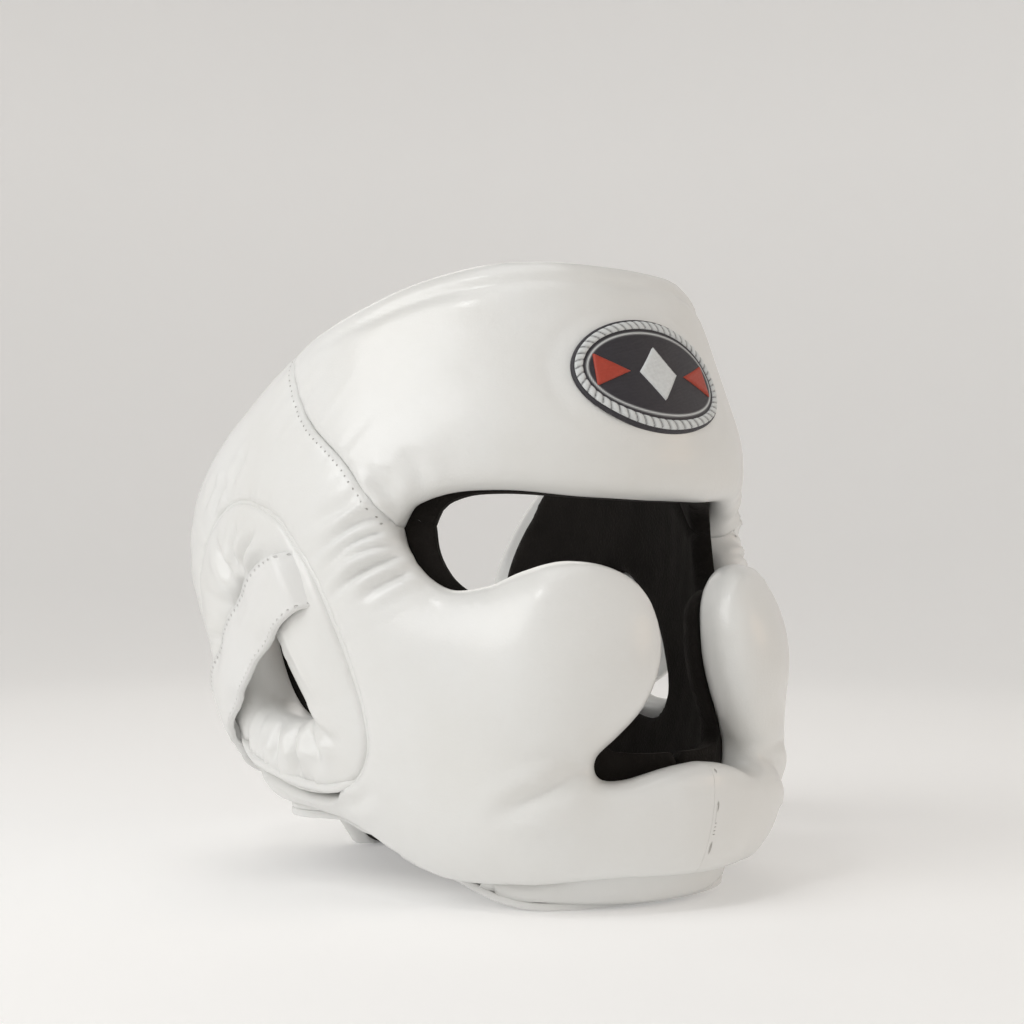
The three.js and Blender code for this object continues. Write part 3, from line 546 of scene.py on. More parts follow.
def piece_from(bm, name, positions, slot, node=None, uvs=None, marks=None, crisp=None, open_ends=False):
    """Makes a mesh a piece: places its points, joins its back to its walls or fills its open ends, gives it the
    material of its slot, hangs it on the root body and hides its node of the frame. Edges between two crisp points keep
    a hard fold in their shading."""
    layers = [bm.verts.layers.float.new(key) for key in (marks or {})]
    positions = leaned(positions)
    for i, v in enumerate(bm.verts):
        v.co = positions[i]
        for layer, values in zip(layers, (marks or {}).values()):
            v[layer] = values[i]
    bm.verts.index_update()
    if crisp is not None:
        for edge in bm.edges:
            edge.smooth = not (crisp[edge.verts[0].index] and crisp[edge.verts[1].index])
    for key, values in (uvs or {}).items():
        layer = bm.loops.layers.uv.new(key)
        for f in bm.faces:
            for loop in f.loops:
                loop[layer].uv = values[loop.vert.index]
    bmesh.ops.remove_doubles(bm, verts=bm.verts, dist=WELD)
    if open_ends:
        bmesh.ops.holes_fill(bm, edges=[e for e in bm.edges if e.is_boundary], sides=0)
    else:
        bmesh.ops.dissolve_degenerate(bm, dist=WELD / 2, edges=bm.edges)
    bmesh.ops.recalc_face_normals(bm, faces=bm.faces)
    obj = object_from(bm, name, material_of(slot))
    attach(obj, "root")
    if node:
        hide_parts(node)


def flat_places(bm):
    """The layer "rise" and the flat places of a thickened mesh's points"""
    layers = [bm.verts.layers.float[name] for name in ("rise", "x", "y")]
    rise, x, y = (np.array([v[layer] for v in bm.verts]) for layer in layers)
    return rise, np.stack([x, y], 1)


# Relief of the leather

def noise(x, y, size, seed):
    """Smooth noise from -1 to 1 on the pattern, with bumps about size millimetres across"""
    total = np.zeros_like(x)
    rng = np.random.default_rng(seed)
    for _ in range(7):
        turn, phase, scale = rng.uniform(0, 2 * math.pi), rng.uniform(0, 2 * math.pi), rng.uniform(0.7, 1.5)
        total += np.sin((x * math.cos(turn) + y * math.sin(turn)) * scale * math.pi / size + phase)
    return total / 3.2


def along_noise(s, size, seed):
    rng = np.random.default_rng(seed)
    total = np.zeros_like(s)
    for _ in range(5):
        total += np.sin(s * rng.uniform(0.75, 1.45) * math.pi / size + rng.uniform(0, 2 * math.pi))
    return total / 2.2


def crease_relief(pattern, points, creases, sign=1):
    total = np.zeros(len(points))
    for at, deep, wide in creases:
        line = pattern.line([(a * sign, u) for a, u in at])
        near = ((points > line.min(0) - 5 * wide) & (points < line.max(0) + 5 * wide)).all(1)
        if near.any():
            d, _, s, _ = nearest_on(points[near], line)
            t = s / np.linalg.norm(np.diff(line, axis=0), axis=1).sum()
            taper = smooth(t, -0.25, 0.2) * (1 - smooth(t, 0.45, 1.0))
            ridge = 0.5 * np.exp(-((d - 2.2 * wide) / (1.3 * wide)) ** 2)
            total[near] += deep * taper * (ridge - np.exp(-((d / wide) ** 1.5)))
    return total


def pucker_relief(s, d, deep, size, reach, seed):
    """Short gathers that run away from a sewn line"""
    waves = along_noise(s, size, seed) + 0.5 * along_noise(s, size * 0.53, seed + 1)
    lengths = reach * (1 + 0.45 * along_noise(s, size * 1.7, seed + 2))
    return deep * waves * np.exp(-d / np.maximum(lengths, 1.2)) * smooth(d, 0, 1.4)


def leaned(p):
    """The face guard of the worn, soft headgear leans a few millimetres to the wearer's left between the eyes and
    the chin: the places in metres, moved so"""
    p = np.array(p, float)
    x, y, z = p.T
    share = np.exp(-((x / 0.042) ** 2)) * smooth(-y, 0.02, 0.06) * smooth(z, -0.015, 0.05)
    p[:, 0] = x + LEAN * (share * (1 - smooth(z, 0.112, 0.142)))
    return p


def spread(which):
    return np.array([EDGE_SPREAD.get(name, 1) for name in which])


class Leather:
    """Where the face of the padded leather lies over the pattern"""

    def __init__(self, pattern):
        self.pattern = pattern
        self.kept = {}
        self.lines = {name: pattern.line(points) for name, points in (
            ("rim", RIM), ("rim_rear", RIM_REAR), ("brow_edge", BROW_EDGE), ("cheek_edge", CHEEK_EDGE), ("jaw", JAW),
            ("brow_seam", BROW_SEAM), ("neck_seam", NECK_SEAM), ("neck_top", NECK_TOP), ("neck_bottom", NECK_BOTTOM),
            ("chin_bottom", CHIN_PAD_BOTTOM), ("chin_seam", CHIN_SEAM), ("suede_brow_edge", SUEDE_BROW_EDGE),
            ("suede_cheek_edge", SUEDE_CHEEK_EDGE), ("suede_brow_seam", SUEDE_BROW_SEAM))}
        self.lines.update(ear_ring=pattern.line(EAR_RING, True), ear_hole=pattern.line(EAR_HOLE, True))
        end, seam_top = pattern.flat([CHIN_PAD_BOTTOM[0], BROW_SEAM[0]])[:, None]
        jaw, rim = self.lines["jaw"], self.lines["rim"]
        top = jaw[jaw[:, 0] < end[0, 0] - 2] - (0, pattern.mm("chin_tuck"))
        self.lines.update(
            chin_top=np.concatenate([top, end]),
            rim_front=np.concatenate([rim[rim[:, 0] <= seam_top[0, 0] - 1], seam_top]),
            rim_side=np.concatenate([seam_top, rim[rim[:, 0] >= seam_top[0, 0] + 1]]))

    def nearest(self, points, edges):
        """The nearest of several lines, given as (name, side on which it is open)"""
        best = None
        for name, side in edges:
            d, foot, s, along = nearest_on(points, self.lines[name], name in ("ear_ring", "ear_hole"))
            best = nearer(best, [d, foot, s, turned(along) * side, np.full(len(d), name, object)])
        return best

    def rounded(self, points, depth, edges, held):
        """How far the face bulges along the pattern, how deep it is, and how far the nearest edge is"""
        d, foot, _, outward, which = self.nearest(points, edges)
        run = np.minimum(1, d / (spread(which) * depth))
        wall = WALL_SHARE * depth
        away = np.where(d[:, None] > 0.3, (foot - points) / np.maximum(d, 1e-6)[:, None], outward)
        bulge = away * (OVERHANG * np.maximum(0, depth - FLAT_EDGE) * held * (1 - run) ** 2)[:, None]
        return bulge, wall + (depth - wall) * rolled(run), d

    def drawn_in(self, points, edges, seams, depth):
        """Moves points towards the nearest edge or seam, so that the rounding there gets more of them"""
        def draw(p, lines, reach):
            d, foot, _, _, which = self.nearest(p, lines)
            radius = reach(which)
            nearer_by = np.where(d < radius, radius * (1 - np.cos(np.minimum(1, d / radius) * math.pi / 2)), d)
            return p + (foot - p) * (1 - nearer_by / np.maximum(d, 1e-6))[:, None] * (d > 1e-3)[:, None]

        moved = draw(points, edges, lambda which: spread(which) * depth)
        return draw(moved, seams, lambda which: np.array([SEAM_SHAPE[name][1] for name in which])) if seams else moved


def pad_base(leather, points, kind):
    """Places and depths of a pad's face before its relief, worked out once for a flat mesh. The points are folded
    onto the wearer's left."""
    key = (kind, len(points), round(float(points.sum()), 6))
    if key in leather.kept:
        return leather.kept[key]
    pattern = leather.pattern
    count, turn = len(points), math.pi * pattern.arc
    folded = points.copy()
    sign = np.where(points[:, 0] < 0, -1.0, 1.0)
    folded[:, 0] = np.abs(folded[:, 0])
    beyond = folded[:, 0] > turn
    folded[beyond, 0] = 2 * turn - folded[beyond, 0]
    sign = np.where(beyond, -sign, sign)
    depth = pattern.swelled(*folded.T) if kind == "face" else np.full(count, pattern.mm(kind + "_pad"))
    moved = leather.drawn_in(folded, EDGES[kind], SEAMS[kind], depth)
    aside = smooth(folded[:, 0], 0.1, 6)
    moved[:, 0] = folded[:, 0] + (moved[:, 0] - folded[:, 0]) * aside
    dip, held = np.zeros(count), np.ones(count)
    to_seam, along, which = np.full(count, 99.0), np.zeros(count), np.full(count, "", object)
    if SEAMS[kind]:
        to_seam, _, along, _, which = leather.nearest(moved, SEAMS[kind])
        deep, wide, reach = np.array([SEAM_SHAPE[name] for name in which]).T
        run = np.minimum(1, to_seam / wide)
        dip = deep * (1 - np.sqrt(np.maximum(0, 1 - (1 - run) ** 2)))
        held = np.where(which == "chin_seam", 1, smooth(to_seam, 0, reach))
    if kind == "face":
        corner = pattern.flat([MOUTH_CORNER])[0]
        held = held * (1 - MOUTH_HOLD * np.exp(-(((moved - corner) ** 2).sum(1) / MOUTH_REACH**2)))
    bulge, out, to_edge = leather.rounded(moved, depth, EDGES[kind], held)
    bulge[:, 0] *= aside
    flat = moved + bulge
    flat[:, 0] = np.where(beyond, 2 * turn - flat[:, 0], flat[:, 0] * sign)
    here = SimpleNamespace(
        x=flat[:, 0], y=flat[:, 1], points=flat, to_seam=to_seam, along=along, which=which, to_edge=to_edge,
        mirrored=sign < 0, folded=moved[:, 0])
    leather.kept[key] = flat, out - dip, here
    return leather.kept[key]


def evened(bm, rise, values, here):
    """Smooths values over the face of a pad, except beside its seams and open edges. The two side pads are alike,
    so depth is smoothed right up to the chin seam, and they still meet flush."""
    bm.verts.index_update()
    ends = np.array([[v.index for v in e.verts] for e in bm.edges])
    ends = ends[(rise[ends] == 1).all(1)]
    count = np.maximum(np.bincount(ends.ravel(), minlength=len(rise)), 1)
    free = smooth(here.to_edge, 0.8, 3) if here.to_seam.min() > 90 else smooth(here.to_edge, 2, 7)
    beside = smooth(here.to_seam, 1.5, 6)
    across = np.where(here.which == "chin_seam", 1, beside)
    hold = (EVENING * free * (rise == 1))[:, None] * np.column_stack([beside, across, across])
    for _ in range(EVENING_PASSES):
        total = np.stack([
            np.bincount(ends.ravel(), column[ends[:, ::-1]].ravel(), len(rise)) for column in values.T], 1)
        values = values + hold * (total / count[:, None] - values)
    return values


def make_pad(leather, name, bm, kind, relief, finish, seams_marked=(), side=1, lip=0):
    """A padded piece of leather over a flat mesh. Side -1 turns it to the wearer's right. A lip goes so many
    millimetres through the ear hole."""
    rise, points = flat_places(bm)
    face, out, here = pad_base(leather, points, kind)
    settled = evened(bm, rise, np.column_stack([face, out]), here)
    face, out = settled[:, :2], settled[:, 2] + relief(leather, here, finish, side)
    t = np.clip(rise, 0, 1)
    to_hole = nearest_on(points, leather.lines["ear_hole"], True)[0]
    foot = GAP_HALF - lip * (1 - smooth(to_hole, 0, 6))
    share = np.where(rise < 0, 0, 1 - (1 - t) ** 2)[:, None]
    flat = points * (1 - share) + face * share
    deep = np.where(rise == 1, out, np.where(rise >= 0, foot + (out - foot) * t, foot))
    positions = leather.pattern.place(flat[:, 0], flat[:, 1], deep) * (side, 1, 1)
    if kind == "neck":
        z = positions[:, 2]
        positions[:, 2] = np.where(z < 0.004, np.maximum(0, z * 1.6 - 0.0024), z)
    on_face, chin_seam = rise == 1, here.which == "chin_seam"
    stitched = np.isin(here.which.astype(str), list(seams_marked)) & on_face & (here.to_seam < 9)
    uvs = {
        "pattern": points * MM,
        "seam": np.stack([here.along * MM, (here.to_seam + np.where(chin_seam, 0.7, 0)) * MM], 1),
    }
    piece_from(
        bm, name, positions, "white_leather", name, uvs, {"stitched": stitched.astype(float)},
        crisp=on_face & chin_seam & (here.to_seam < 0.05))


def lining_piece(pattern, name, bm, seed, side=1):
    """A padded lining behind the leather: its face is towards the head"""
    rise, points = flat_places(bm)
    x, y = points.T
    run = np.minimum(1, boundary_distance(bm, points) / 5)
    face = -pattern.mm("lining") * (0.5 + 0.5 * rolled(run))
    face = face + (0.45 * noise(x, y, 26, seed) + 0.16 * noise(x, y, 9, seed + 1)) * run
    deep = np.where(rise == 1, face, np.where(rise > 0, face * rise, -GAP_HALF))
    positions = pattern.place(x, y, np.minimum(deep, -GAP_HALF)) * (side, 1, 1)
    positions[:, 2] = np.maximum(positions[:, 2], 0.0002)
    piece_from(bm, name, positions, "black_lining", name, {"pattern": points * MM})


def boundary_distance(bm, points):
    """Distance from each point to the outline of its flat mesh"""
    rise = bm.verts.layers.float["rise"]
    ends = np.array([[v.co[:2] for v in e.verts] for e in bm.edges if all(v[rise] == 0 for v in e.verts)])
    best = np.full(len(points), 1e9)
    a, ab = ends[:, 0], ends[:, 1] - ends[:, 0]
    squared = np.maximum((ab**2).sum(1), 1e-12)
    for low in range(0, len(points), 3000):
        p = points[low:low + 3000]
        t = np.clip(((p[:, None] - a) * ab).sum(2) / squared, 0, 1)
        best[low:low + 3000] = np.linalg.norm(a + t[..., None] * ab - p[:, None], axis=2).min(1)
    return best


def piping(leather, name, line, side, radius=1.75, sides=8):
    """A thin covered cord that lies in a seam of the pads, closed on itself"""
    bm = bmesh.new()
    count = len(line)
    bmesh.ops.create_grid(bm, x_segments=count, y_segments=sides, size=0.5)
    part = np.array([v.co[:2] for v in bm.verts]) + 0.5
    index = np.rint(part[:, 0] * count).astype(int) % count
    turn = part[:, 1] * 2 * math.pi
    across = turned(unit(np.roll(line, -1, 0) - np.roll(line, 1, 0)))
    out = pad_base(leather, line, "face")[1] + 0.3
    flat = line[index] + across[index] * radius * np.cos(turn)[:, None]
    positions = leather.pattern.place(flat[:, 0], flat[:, 1], out[index] + radius * np.sin(turn)) * (side, 1, 1)
    piece_from(bm, name, positions, "white_leather", uvs={"pattern": flat * MM})


# Straps

def ribbon(name, stations, shape, span, width, end=1.2):
    """A flat strap with rolled edges: shape gives a point for (place along it, across from -1 to 1, height)"""
    top = np.linspace(-0.965, 0.965, 15)
    low = np.linspace(0.965, -0.965, 9)
    edge = np.linspace(0, math.pi, 6)[1:-1]
    k = np.concatenate([top, 0.965 + 0.035 * np.sin(edge), low, -0.965 - 0.035 * np.sin(edge), top[:1]])
    h = np.concatenate([np.ones(15), 0.5 + 0.5 * np.cos(edge), np.zeros(9), 0.5 - 0.5 * np.cos(edge), [1]])
    groove = np.exp(-(((np.abs(k) - 0.8) / 0.045) ** 2))
    h = h + np.where(h == 1, 0.12 * (1 - k**2) - 0.16 * groove + 0.1 * (np.abs(k) > 0.86), 0)
    bm = bmesh.new()
    bmesh.ops.create_grid(bm, x_segments=stations, y_segments=len(k) - 1, size=0.5)
    along, across = (np.array([v.co[i] for v in bm.verts]) + 0.5 for i in (0, 1))
    row = np.rint(across * (len(k) - 1)).astype(int)
    close = np.clip(np.minimum(along, 1 - along) * span / end, 0, 1)
    height = 0.5 + (h[row] - 0.5) * (0.25 + 0.75 * np.sqrt(close * (2 - close)))
    piece_from(
        bm, name, shape(along, k[row], height), "strap_leather", name,
        {"strap": np.stack([along * span * MM, k[row] * width / 2 * MM], 1)},
        {"face": (h[row] > 0.6).astype(float)}, open_ends=True)


def ear_strap(leather, name, sign, lap):
    """A strap over the ear ring and round the back. It lies on the pads under it, and lap lifts it over the other
    strap where the two cross."""
    pattern = leather.pattern
    line = pattern.line(EAR_STRAP, step=2.6)
    rows = np.arange(len(line))
    direction = unit(np.gradient(line, axis=0))
    s = measured(line)
    wide = pattern.mm("strap_width") * (0.8 + 0.12 * smooth(s, 0, 24))
    across = turned(direction) * wide[:, None] / 2
    thick = pattern.mm("strap_thick")

    def pad_under(points):
        behind = points[:, 0] > nearest_on(points, leather.lines["neck_seam"])[1][:, 0]
        face, neck = (pad_base(leather, points, kind)[1] for kind in ("face", "neck"))
        return np.where(behind, neck, face)

    def windows(values):
        """The values of the 13 stations round each one"""
        return [np.roll(np.pad(values, 6, mode="edge"), w)[6:-6] for w in range(-6, 7)]

    under = np.stack([pad_under(line + across * k) for k in (-1, -0.7, -0.35, 0, 0.35, 0.7, 1)])
    least = under.max(0)
    lift = np.maximum(np.mean(windows(np.max(windows(least), 0)), 0), least)
    over = smooth(line[:, 0], *pattern.flat([(at, 0) for at in STRAP_LAP])[:, 0])
    sunk = under.min(0) - 3.2
    base = sunk + (lift + 0.6 + lap * (thick + 0.3) * over - sunk) * smooth(s, -1, 9)

    def shape(along, k, height):
        at = along * rows[-1]
        slant = 3.7 * k * (1 - smooth(np.interp(at, rows, s), 0, 18))
        middle = between(at, rows, line) + between(at, rows, direction) * slant[:, None]
        stations, index = np.unique(at, return_inverse=True)
        below = np.array([np.interp(stations, rows, row) for row in under])
        position = np.clip((k + 1) * 3, 0, 5.999)
        j = position.astype(int)
        local = below[j, index] * (1 - position + j) + below[j + 1, index] * (position - j)
        slack = np.interp(at, rows, lift) - local
        out = np.interp(at, rows, base) + height * thick
        out = out - 0.22 * np.clip(slack, 0, 9) * smooth(np.abs(k), 0.2, 1.0)
        ripple = 0.25 * np.sin(along * 31 + k * 1.3) * np.exp(-((along - 0.2) / 0.2) ** 2)
        flat = middle + between(at, rows, across) * k[:, None]
        return pattern.place(flat[:, 0], flat[:, 1], out + ripple) * (sign, 1, 1)

    ribbon(name, 2 * len(line) - 2, shape, s[-1], pattern.mm("strap_width"))


def chin_ribbon(pattern, node):
    """A band along the chin strap's line, as long, as high and as thick as its node of the frame"""
    plan = CHIN_STRAP + [(-a, f) for a, f in CHIN_STRAP[-2::-1]]
    points = np.array([(pattern.mm("half_width") * a, -pattern.mm("front_reach") * f) for a, f in plan])
    line = pattern.line(points / (pattern.arc * math.pi / 180, pattern.mm("height")), step=2.0)
    line = line + (0, pattern.mm("row_shift"))
    s, wide = measured(line), pattern.mm("chin_strap_width")
    corners = np.array([v.co for v in frame["nodes"][node].data.vertices]) / MM
    along = nearest_on(corners[:, :2], line)[2]
    order = np.argsort(along)
    along, z = along[order], corners[order, 2]
    groups = np.split(np.arange(len(along)), np.where(np.diff(along) > 2.5)[0] + 1)
    at, low, high = (np.array([pick(values[g]) for g in groups]) for pick, values in (
        (np.mean, along), (np.min, z), (np.max, z)))
    span = at[-1] - at[0]
    direction = unit(np.gradient(line, axis=0))

    def shape(part, k, height):
        where = at[0] + part * span
        centre = between(where, s, line)
        angle = np.degrees(np.arctan2(np.abs(centre[:, 0]), pattern.mm("row_shift") - centre[:, 1]))
        tucked = smooth(angle, 22, 38) * (1 - smooth(angle, 72, 88))
        centre = centre * (1 - 0.09 * tucked)[:, None]
        close = np.minimum(part, 1 - part) * span
        corner = 1 - 0.22 * (1 - np.clip(close / 6, 0, 1)) ** 2
        across = k[:, None] * corner[:, None] * wide / 2 * turned(unit(between(where, s, direction)))
        z_at = np.interp(where, at, low) + np.interp(where, at, high - low) * height + 2 * tucked
        return np.column_stack([centre + across, np.maximum(0.0, z_at)]) * MM

    ribbon(node, int(span / 2), shape, span, wide)


# Badge

def badge_place(pattern, across_up):
    """Flat places for points given in millimetres from the badge's middle"""
    middle = pattern.flat([(0, pattern.sizes.badge_up)])[0]
    face = pattern.swelled(np.array([0.0]), middle[1:])
    front = -(pattern.place(np.array([0.0]), middle[1:], face)[0, 1] / MM - pattern.mm("row_shift"))
    return np.asarray(across_up) * (pattern.arc / front, 1) + middle


def oval(pattern, smaller=0, count=120):
    """The badge's outline, so many millimetres less wide and high"""
    turn = np.linspace(0, 2 * math.pi, count, endpoint=False)
    wide, tall = pattern.mm("badge_width") - smaller, pattern.mm("badge_height") - smaller
    return badge_place(pattern, np.stack([wide / 2 * np.cos(turn), tall / 2 * np.sin(turn)], 1))


def badge_piece(leather, name, loops, low, high, cell, slot, relief=None, edge=1.0, **marks):
    bm = thickened(flat_mesh(loops, [], cell), 2)
    rise, points = flat_places(bm)
    under = pad_base(leather, points, "face")[1]
    run = np.minimum(1, boundary_distance(bm, points) / edge)
    lift = low + (high - low) * (0.45 + 0.55 * rolled(run))
    if relief is not None:
        lift = lift + relief(points) * (rise == 1)
    deep = under + np.where(rise == 1, lift, np.where(rise > 0, low + (high - low) * 0.45 * rise, low))
    marks = {key: mark(points) * (rise == 1) for key, mark in marks.items()}
    piece_from(bm, name, leather.pattern.place(*points.T, deep), slot, name, {"pattern": points * MM}, marks)


# Materials

class Shading:
    """A material's node tree, put together one node at a time"""

    def __init__(self, name):
        self.material = bpy.data.materials.new(name)
        self.material.use_nodes = True
        self.tree = self.material.node_tree
        self.shader = self.tree.nodes["Principled BSDF"]

    def put(self, value, socket):
        if isinstance(value, bpy.types.NodeSocket):
            self.tree.links.new(value, socket)
        else:
            socket.default_value = value

    def node(self, kind, inputs, output=0, **settings):
        made = self.tree.nodes.new(kind)
        for key, value in settings.items():
            setattr(made, key, value)
        for key, value in inputs.items():
            self.put(value, made.inputs[key])
        return made.outputs[output]

    def math(self, operation, *values):
        return self.node("ShaderNodeMath", dict(enumerate(values)), operation=operation)

    def objects(self):
        return self.node("ShaderNodeTexCoord", {}, output="Object")

    def attribute(self, name):
        return self.node("ShaderNodeAttribute", {}, output="Fac", attribute_name=name)

    def noise(self, scale, detail, roughness):
        return self.node("ShaderNodeTexNoise", {
            "Vector": self.objects(), "Scale": scale, "Detail": detail, "Roughness": roughness}, output="Fac")

    def mix(self, factor, a, b):
        a, b = ((*value, 1) if isinstance(value, tuple) else value for value in (a, b))
        return self.node("ShaderNodeMix", {0: factor, 6: a, 7: b}, output=2, data_type="RGBA")

    def scaled(self, value, low, high):
        return self.node("ShaderNodeMapRange", {"Value": value, "To Min": low, "To Max": high})

    def bumps(self, *layers):
        """The normal of some bumps over one another, each a height and a distance in metres"""
        normal = {}
        for height, distance in layers:
            normal = {"Normal": self.node(
                "ShaderNodeBump", {"Height": height, "Distance": distance, "Strength": 1.0, **normal})}
        return normal["Normal"]

    def uniform(self, **sockets):
        for key, value in sockets.items():
            self.shader.inputs[key.replace("_", " ")].default_value = value

    def link(self, **sockets):
        for key, value in sockets.items():
            self.put(value, self.shader.inputs[key.replace("_", " ")])
        return self.material


def holes_along(shading, uv_name, spacing, offset, radius):
    """1 in a round needle hole, in a row at a distance from a line, and 0 outside"""
    uv = shading.node("ShaderNodeUVMap", {}, uv_map=uv_name)
    s, d = (shading.node("ShaderNodeSeparateXYZ", {0: uv}, output=i) for i in (0, 1))
    part = shading.math("FRACT", shading.math("DIVIDE", s, spacing))
    along = shading.math("MULTIPLY", shading.math("SUBTRACT", part, 0.5), spacing)
    across = shading.math("SUBTRACT", shading.math("ABSOLUTE", d), offset)
    away = shading.math("SQRT", shading.math("ADD", *(shading.math("MULTIPLY", v, v) for v in (along, across))))
    return shading.node("ShaderNodeMapRange", {
        "Value": away, "From Min": radius * 0.55, "From Max": radius, "To Min": 1.0, "To Max": 0.0})


def leather_material(name, colour, stitch, strap=False):
    shading = Shading(name)
    deep = tuple(c * w for c, w in zip(colour, (0.93, 0.915, 0.885)))
    cloud = shading.scaled(shading.noise(14, 4, 0.6), -0.35, 1.15)
    grain = shading.node("ShaderNodeTexVoronoi", {"Vector": shading.objects(), "Scale": 1250.0}, output="Distance")
    line, offset, radius, mask = ("strap", 0.0113, 0.0005, "face") if strap else ("seam", 0.0019, 0.00038, "stitched")
    holes = shading.math("MULTIPLY", holes_along(shading, line, stitch, offset, radius), shading.attribute(mask))
    # Painted shade: each needle hole is darkened in the base colour to stand in for the shade inside it, over its
    # shallow bump
    dark = shading.math("MULTIPLY", holes, 0.25 if strap else 0.65)
    low, high = (0.33, 0.47) if strap else (0.26, 0.38)
    shading.uniform(IOR=1.5, Coat_Weight=0.28, Coat_Roughness=0.14)
    return shading.link(
        Base_Color=shading.mix(dark, shading.mix(cloud, tuple(colour), deep), (0.26, 0.235, 0.21)),
        Roughness=shading.scaled(shading.noise(46, 3, 0.6), low, high),
        Normal=shading.bumps(
            (shading.noise(85, 2, 0.5), 0.00014), (shading.noise(310, 3, 0.55), 0.00006), (grain, 0.00003),
            (shading.math("MULTIPLY", holes, -1.0), 0.0004)))


def suede_material(name, colour):
    shading = Shading(name)
    nap, fine = shading.noise(55, 5, 0.65), shading.noise(900, 3, 0.7)
    tint = shading.mix(shading.scaled(nap, -0.25, 0.95), tuple(colour), tuple(c * 2.2 + 0.002 for c in colour))
    tint = shading.mix(shading.scaled(fine, -0.6, 0.5), tint, tuple(c * 3.2 for c in colour))
    shading.uniform(
        Sheen_Weight=0.07, Sheen_Roughness=0.45, Sheen_Tint=(0.75, 0.7, 0.66, 1), IOR=1.35, Specular_IOR_Level=0.2)
    return shading.link(
        Base_Color=tint, Roughness=shading.scaled(fine, 0.82, 1.0), Normal=shading.bumps((nap, 0.0008), (fine, 0.0005)))


def badge_material(name, colour):
    shading = Shading(name)
    weave = shading.node(
        "ShaderNodeTexWave", {"Vector": shading.objects(), "Scale": 620.0, "Distortion": 0.6, "Detail": 1.0},
        output="Fac", bands_direction="Z")
    speck = shading.noise(700, 2, 0.6)
    tint = shading.mix(shading.scaled(speck, -0.2, 0.7), tuple(colour), tuple(c * 0.74 for c in colour))
    # The pale mark is a real thread line on the field; the dark mark is painted shade in the grooves between the
    # twisted ring's strands
    for mark, thread in (("pale", (0.68, 0.7, 0.7)), ("dark", (0.03, 0.03, 0.034))):
        tint = shading.mix(shading.attribute(mark), tint, thread)
    shading.uniform(IOR=1.48, Coat_Weight=0.08, Coat_Roughness=0.3)
    return shading.link(
        Base_Color=tint, Roughness=shading.scaled(speck, 0.42, 0.56),
        Normal=shading.bumps((weave, 0.00007), (speck, 0.00006)))


def material_of(slot):
    """The material of a slot, made once"""
    finish = bpy.context.scene.headgear_finish
    name, make, *values = {
        "white_leather": ("White leather", leather_material, finish.leather, finish.stitch),
        "strap_leather": ("Strap leather", leather_material, finish.strap, finish.stitch, True),
        "black_lining": ("Black suede lining", suede_material, finish.lining),
        "badge_black": ("Badge field", badge_material, finish.badge_dark),
        "badge_white": ("Badge pale thread", badge_material, finish.badge_pale),
        "badge_red": ("Badge red", badge_material, finish.badge_red),
    }[slot]
    return bpy.data.materials.get(name) or make(name, *values)


# Relief of each pad

def brow_relief(leather, here, finish, side):
    pattern, x, y = leather.pattern, here.x, here.y
    at = pattern.wrapped(x, y)[0]
    to_rim = nearest_on(np.stack([np.abs(x), y], 1), leather.lines["rim"])[0]
    roll = 0.55 * bell((to_rim, 5.2, 3.0)) - 1.15 * bell((to_rim - 9.6 - 1.2 * noise(x, y, 60, 4), 0, 1.9))
    total = roll * (0.75 + 0.25 * along_noise(x, 40, 11)) * (1 - smooth(np.abs(at), 62, 84))
    total = total + 0.42 * noise(x, y, 42, finish.seed) + 0.12 * noise(x, y, 15, finish.seed + 1)
    total = total + crease_relief(pattern, here.points, BROW_CREASES)
    total = total + crease_relief(pattern, here.points, BROW_CREASES[:3], -1)
    near_eye = bell((np.abs(at), 52, 9))
    gathers = pucker_relief(here.along + 90 * here.mirrored, here.to_seam, 0.35 + 0.6 * near_eye, 6.5, 6.5, 21)
    total = total + gathers * (here.which == "brow_seam")
    gathers = pucker_relief(here.folded + 40 * here.mirrored, here.to_edge, 0.16 + 0.35 * near_eye, 7.5, 5, 31)
    total = total + gathers * (y < pattern.mm("height") * 0.72)
    middle = pattern.flat([(0, pattern.sizes.badge_up)])[0]
    wide, tall = pattern.mm("badge_width") * 0.56, pattern.mm("badge_height") * 0.62
    badge = np.sqrt(((x - middle[0]) / wide) ** 2 + ((y - middle[1]) / tall) ** 2)
    return (total * smooth(badge, 0.98, 1.5) - 0.5 * bell((badge, 1.0, 0.09))) * finish.crease


def side_relief(leather, here, finish, side):
    pattern, x, y = leather.pattern, here.x, here.y
    seed = finish.seed + (50 if side > 0 else 0)
    at, up = pattern.wrapped(x, y)
    cheek, temple = bell((at, 26, 17), (up, 0.33, 0.16)), bell((at, 54, 8), (up, 0.58, 0.09))
    total = (0.62 * noise(x, y, 44, seed) + 0.2 * noise(x, y, 19, seed + 1)) * (1 - 0.6 * cheek)
    total = total + crease_relief(pattern, here.points, SIDE_CREASES)
    for seam, deep, size, reach, more in (
            ("brow_seam", 0.3 + 0.55 * temple, 6.0, 6.0, 3), ("ear_ring", 0.32, 7.0, 6.5, 5),
            ("neck_seam", 0.5, 7.0, 9.0, 7), ("chin_seam", 0.12, 6.0, 4.0, 9)):
        gathers = pucker_relief(here.along, here.to_seam, deep, size, reach, seed + more)
        total = total + gathers * (here.which == seam)
    run = np.degrees(np.arctan2(y - 110, x - 60)) * 1.4
    gathers = pucker_relief(run, here.to_edge, 0.22 + 0.45 * temple, 7.0, 5.0, seed + 11)
    total = total + gathers * (1 - 0.7 * cheek)
    return total * finish.crease * (0.5 + 0.5 * smooth(here.to_edge, 0.5, 4)) * smooth(x, 0.6, 9)


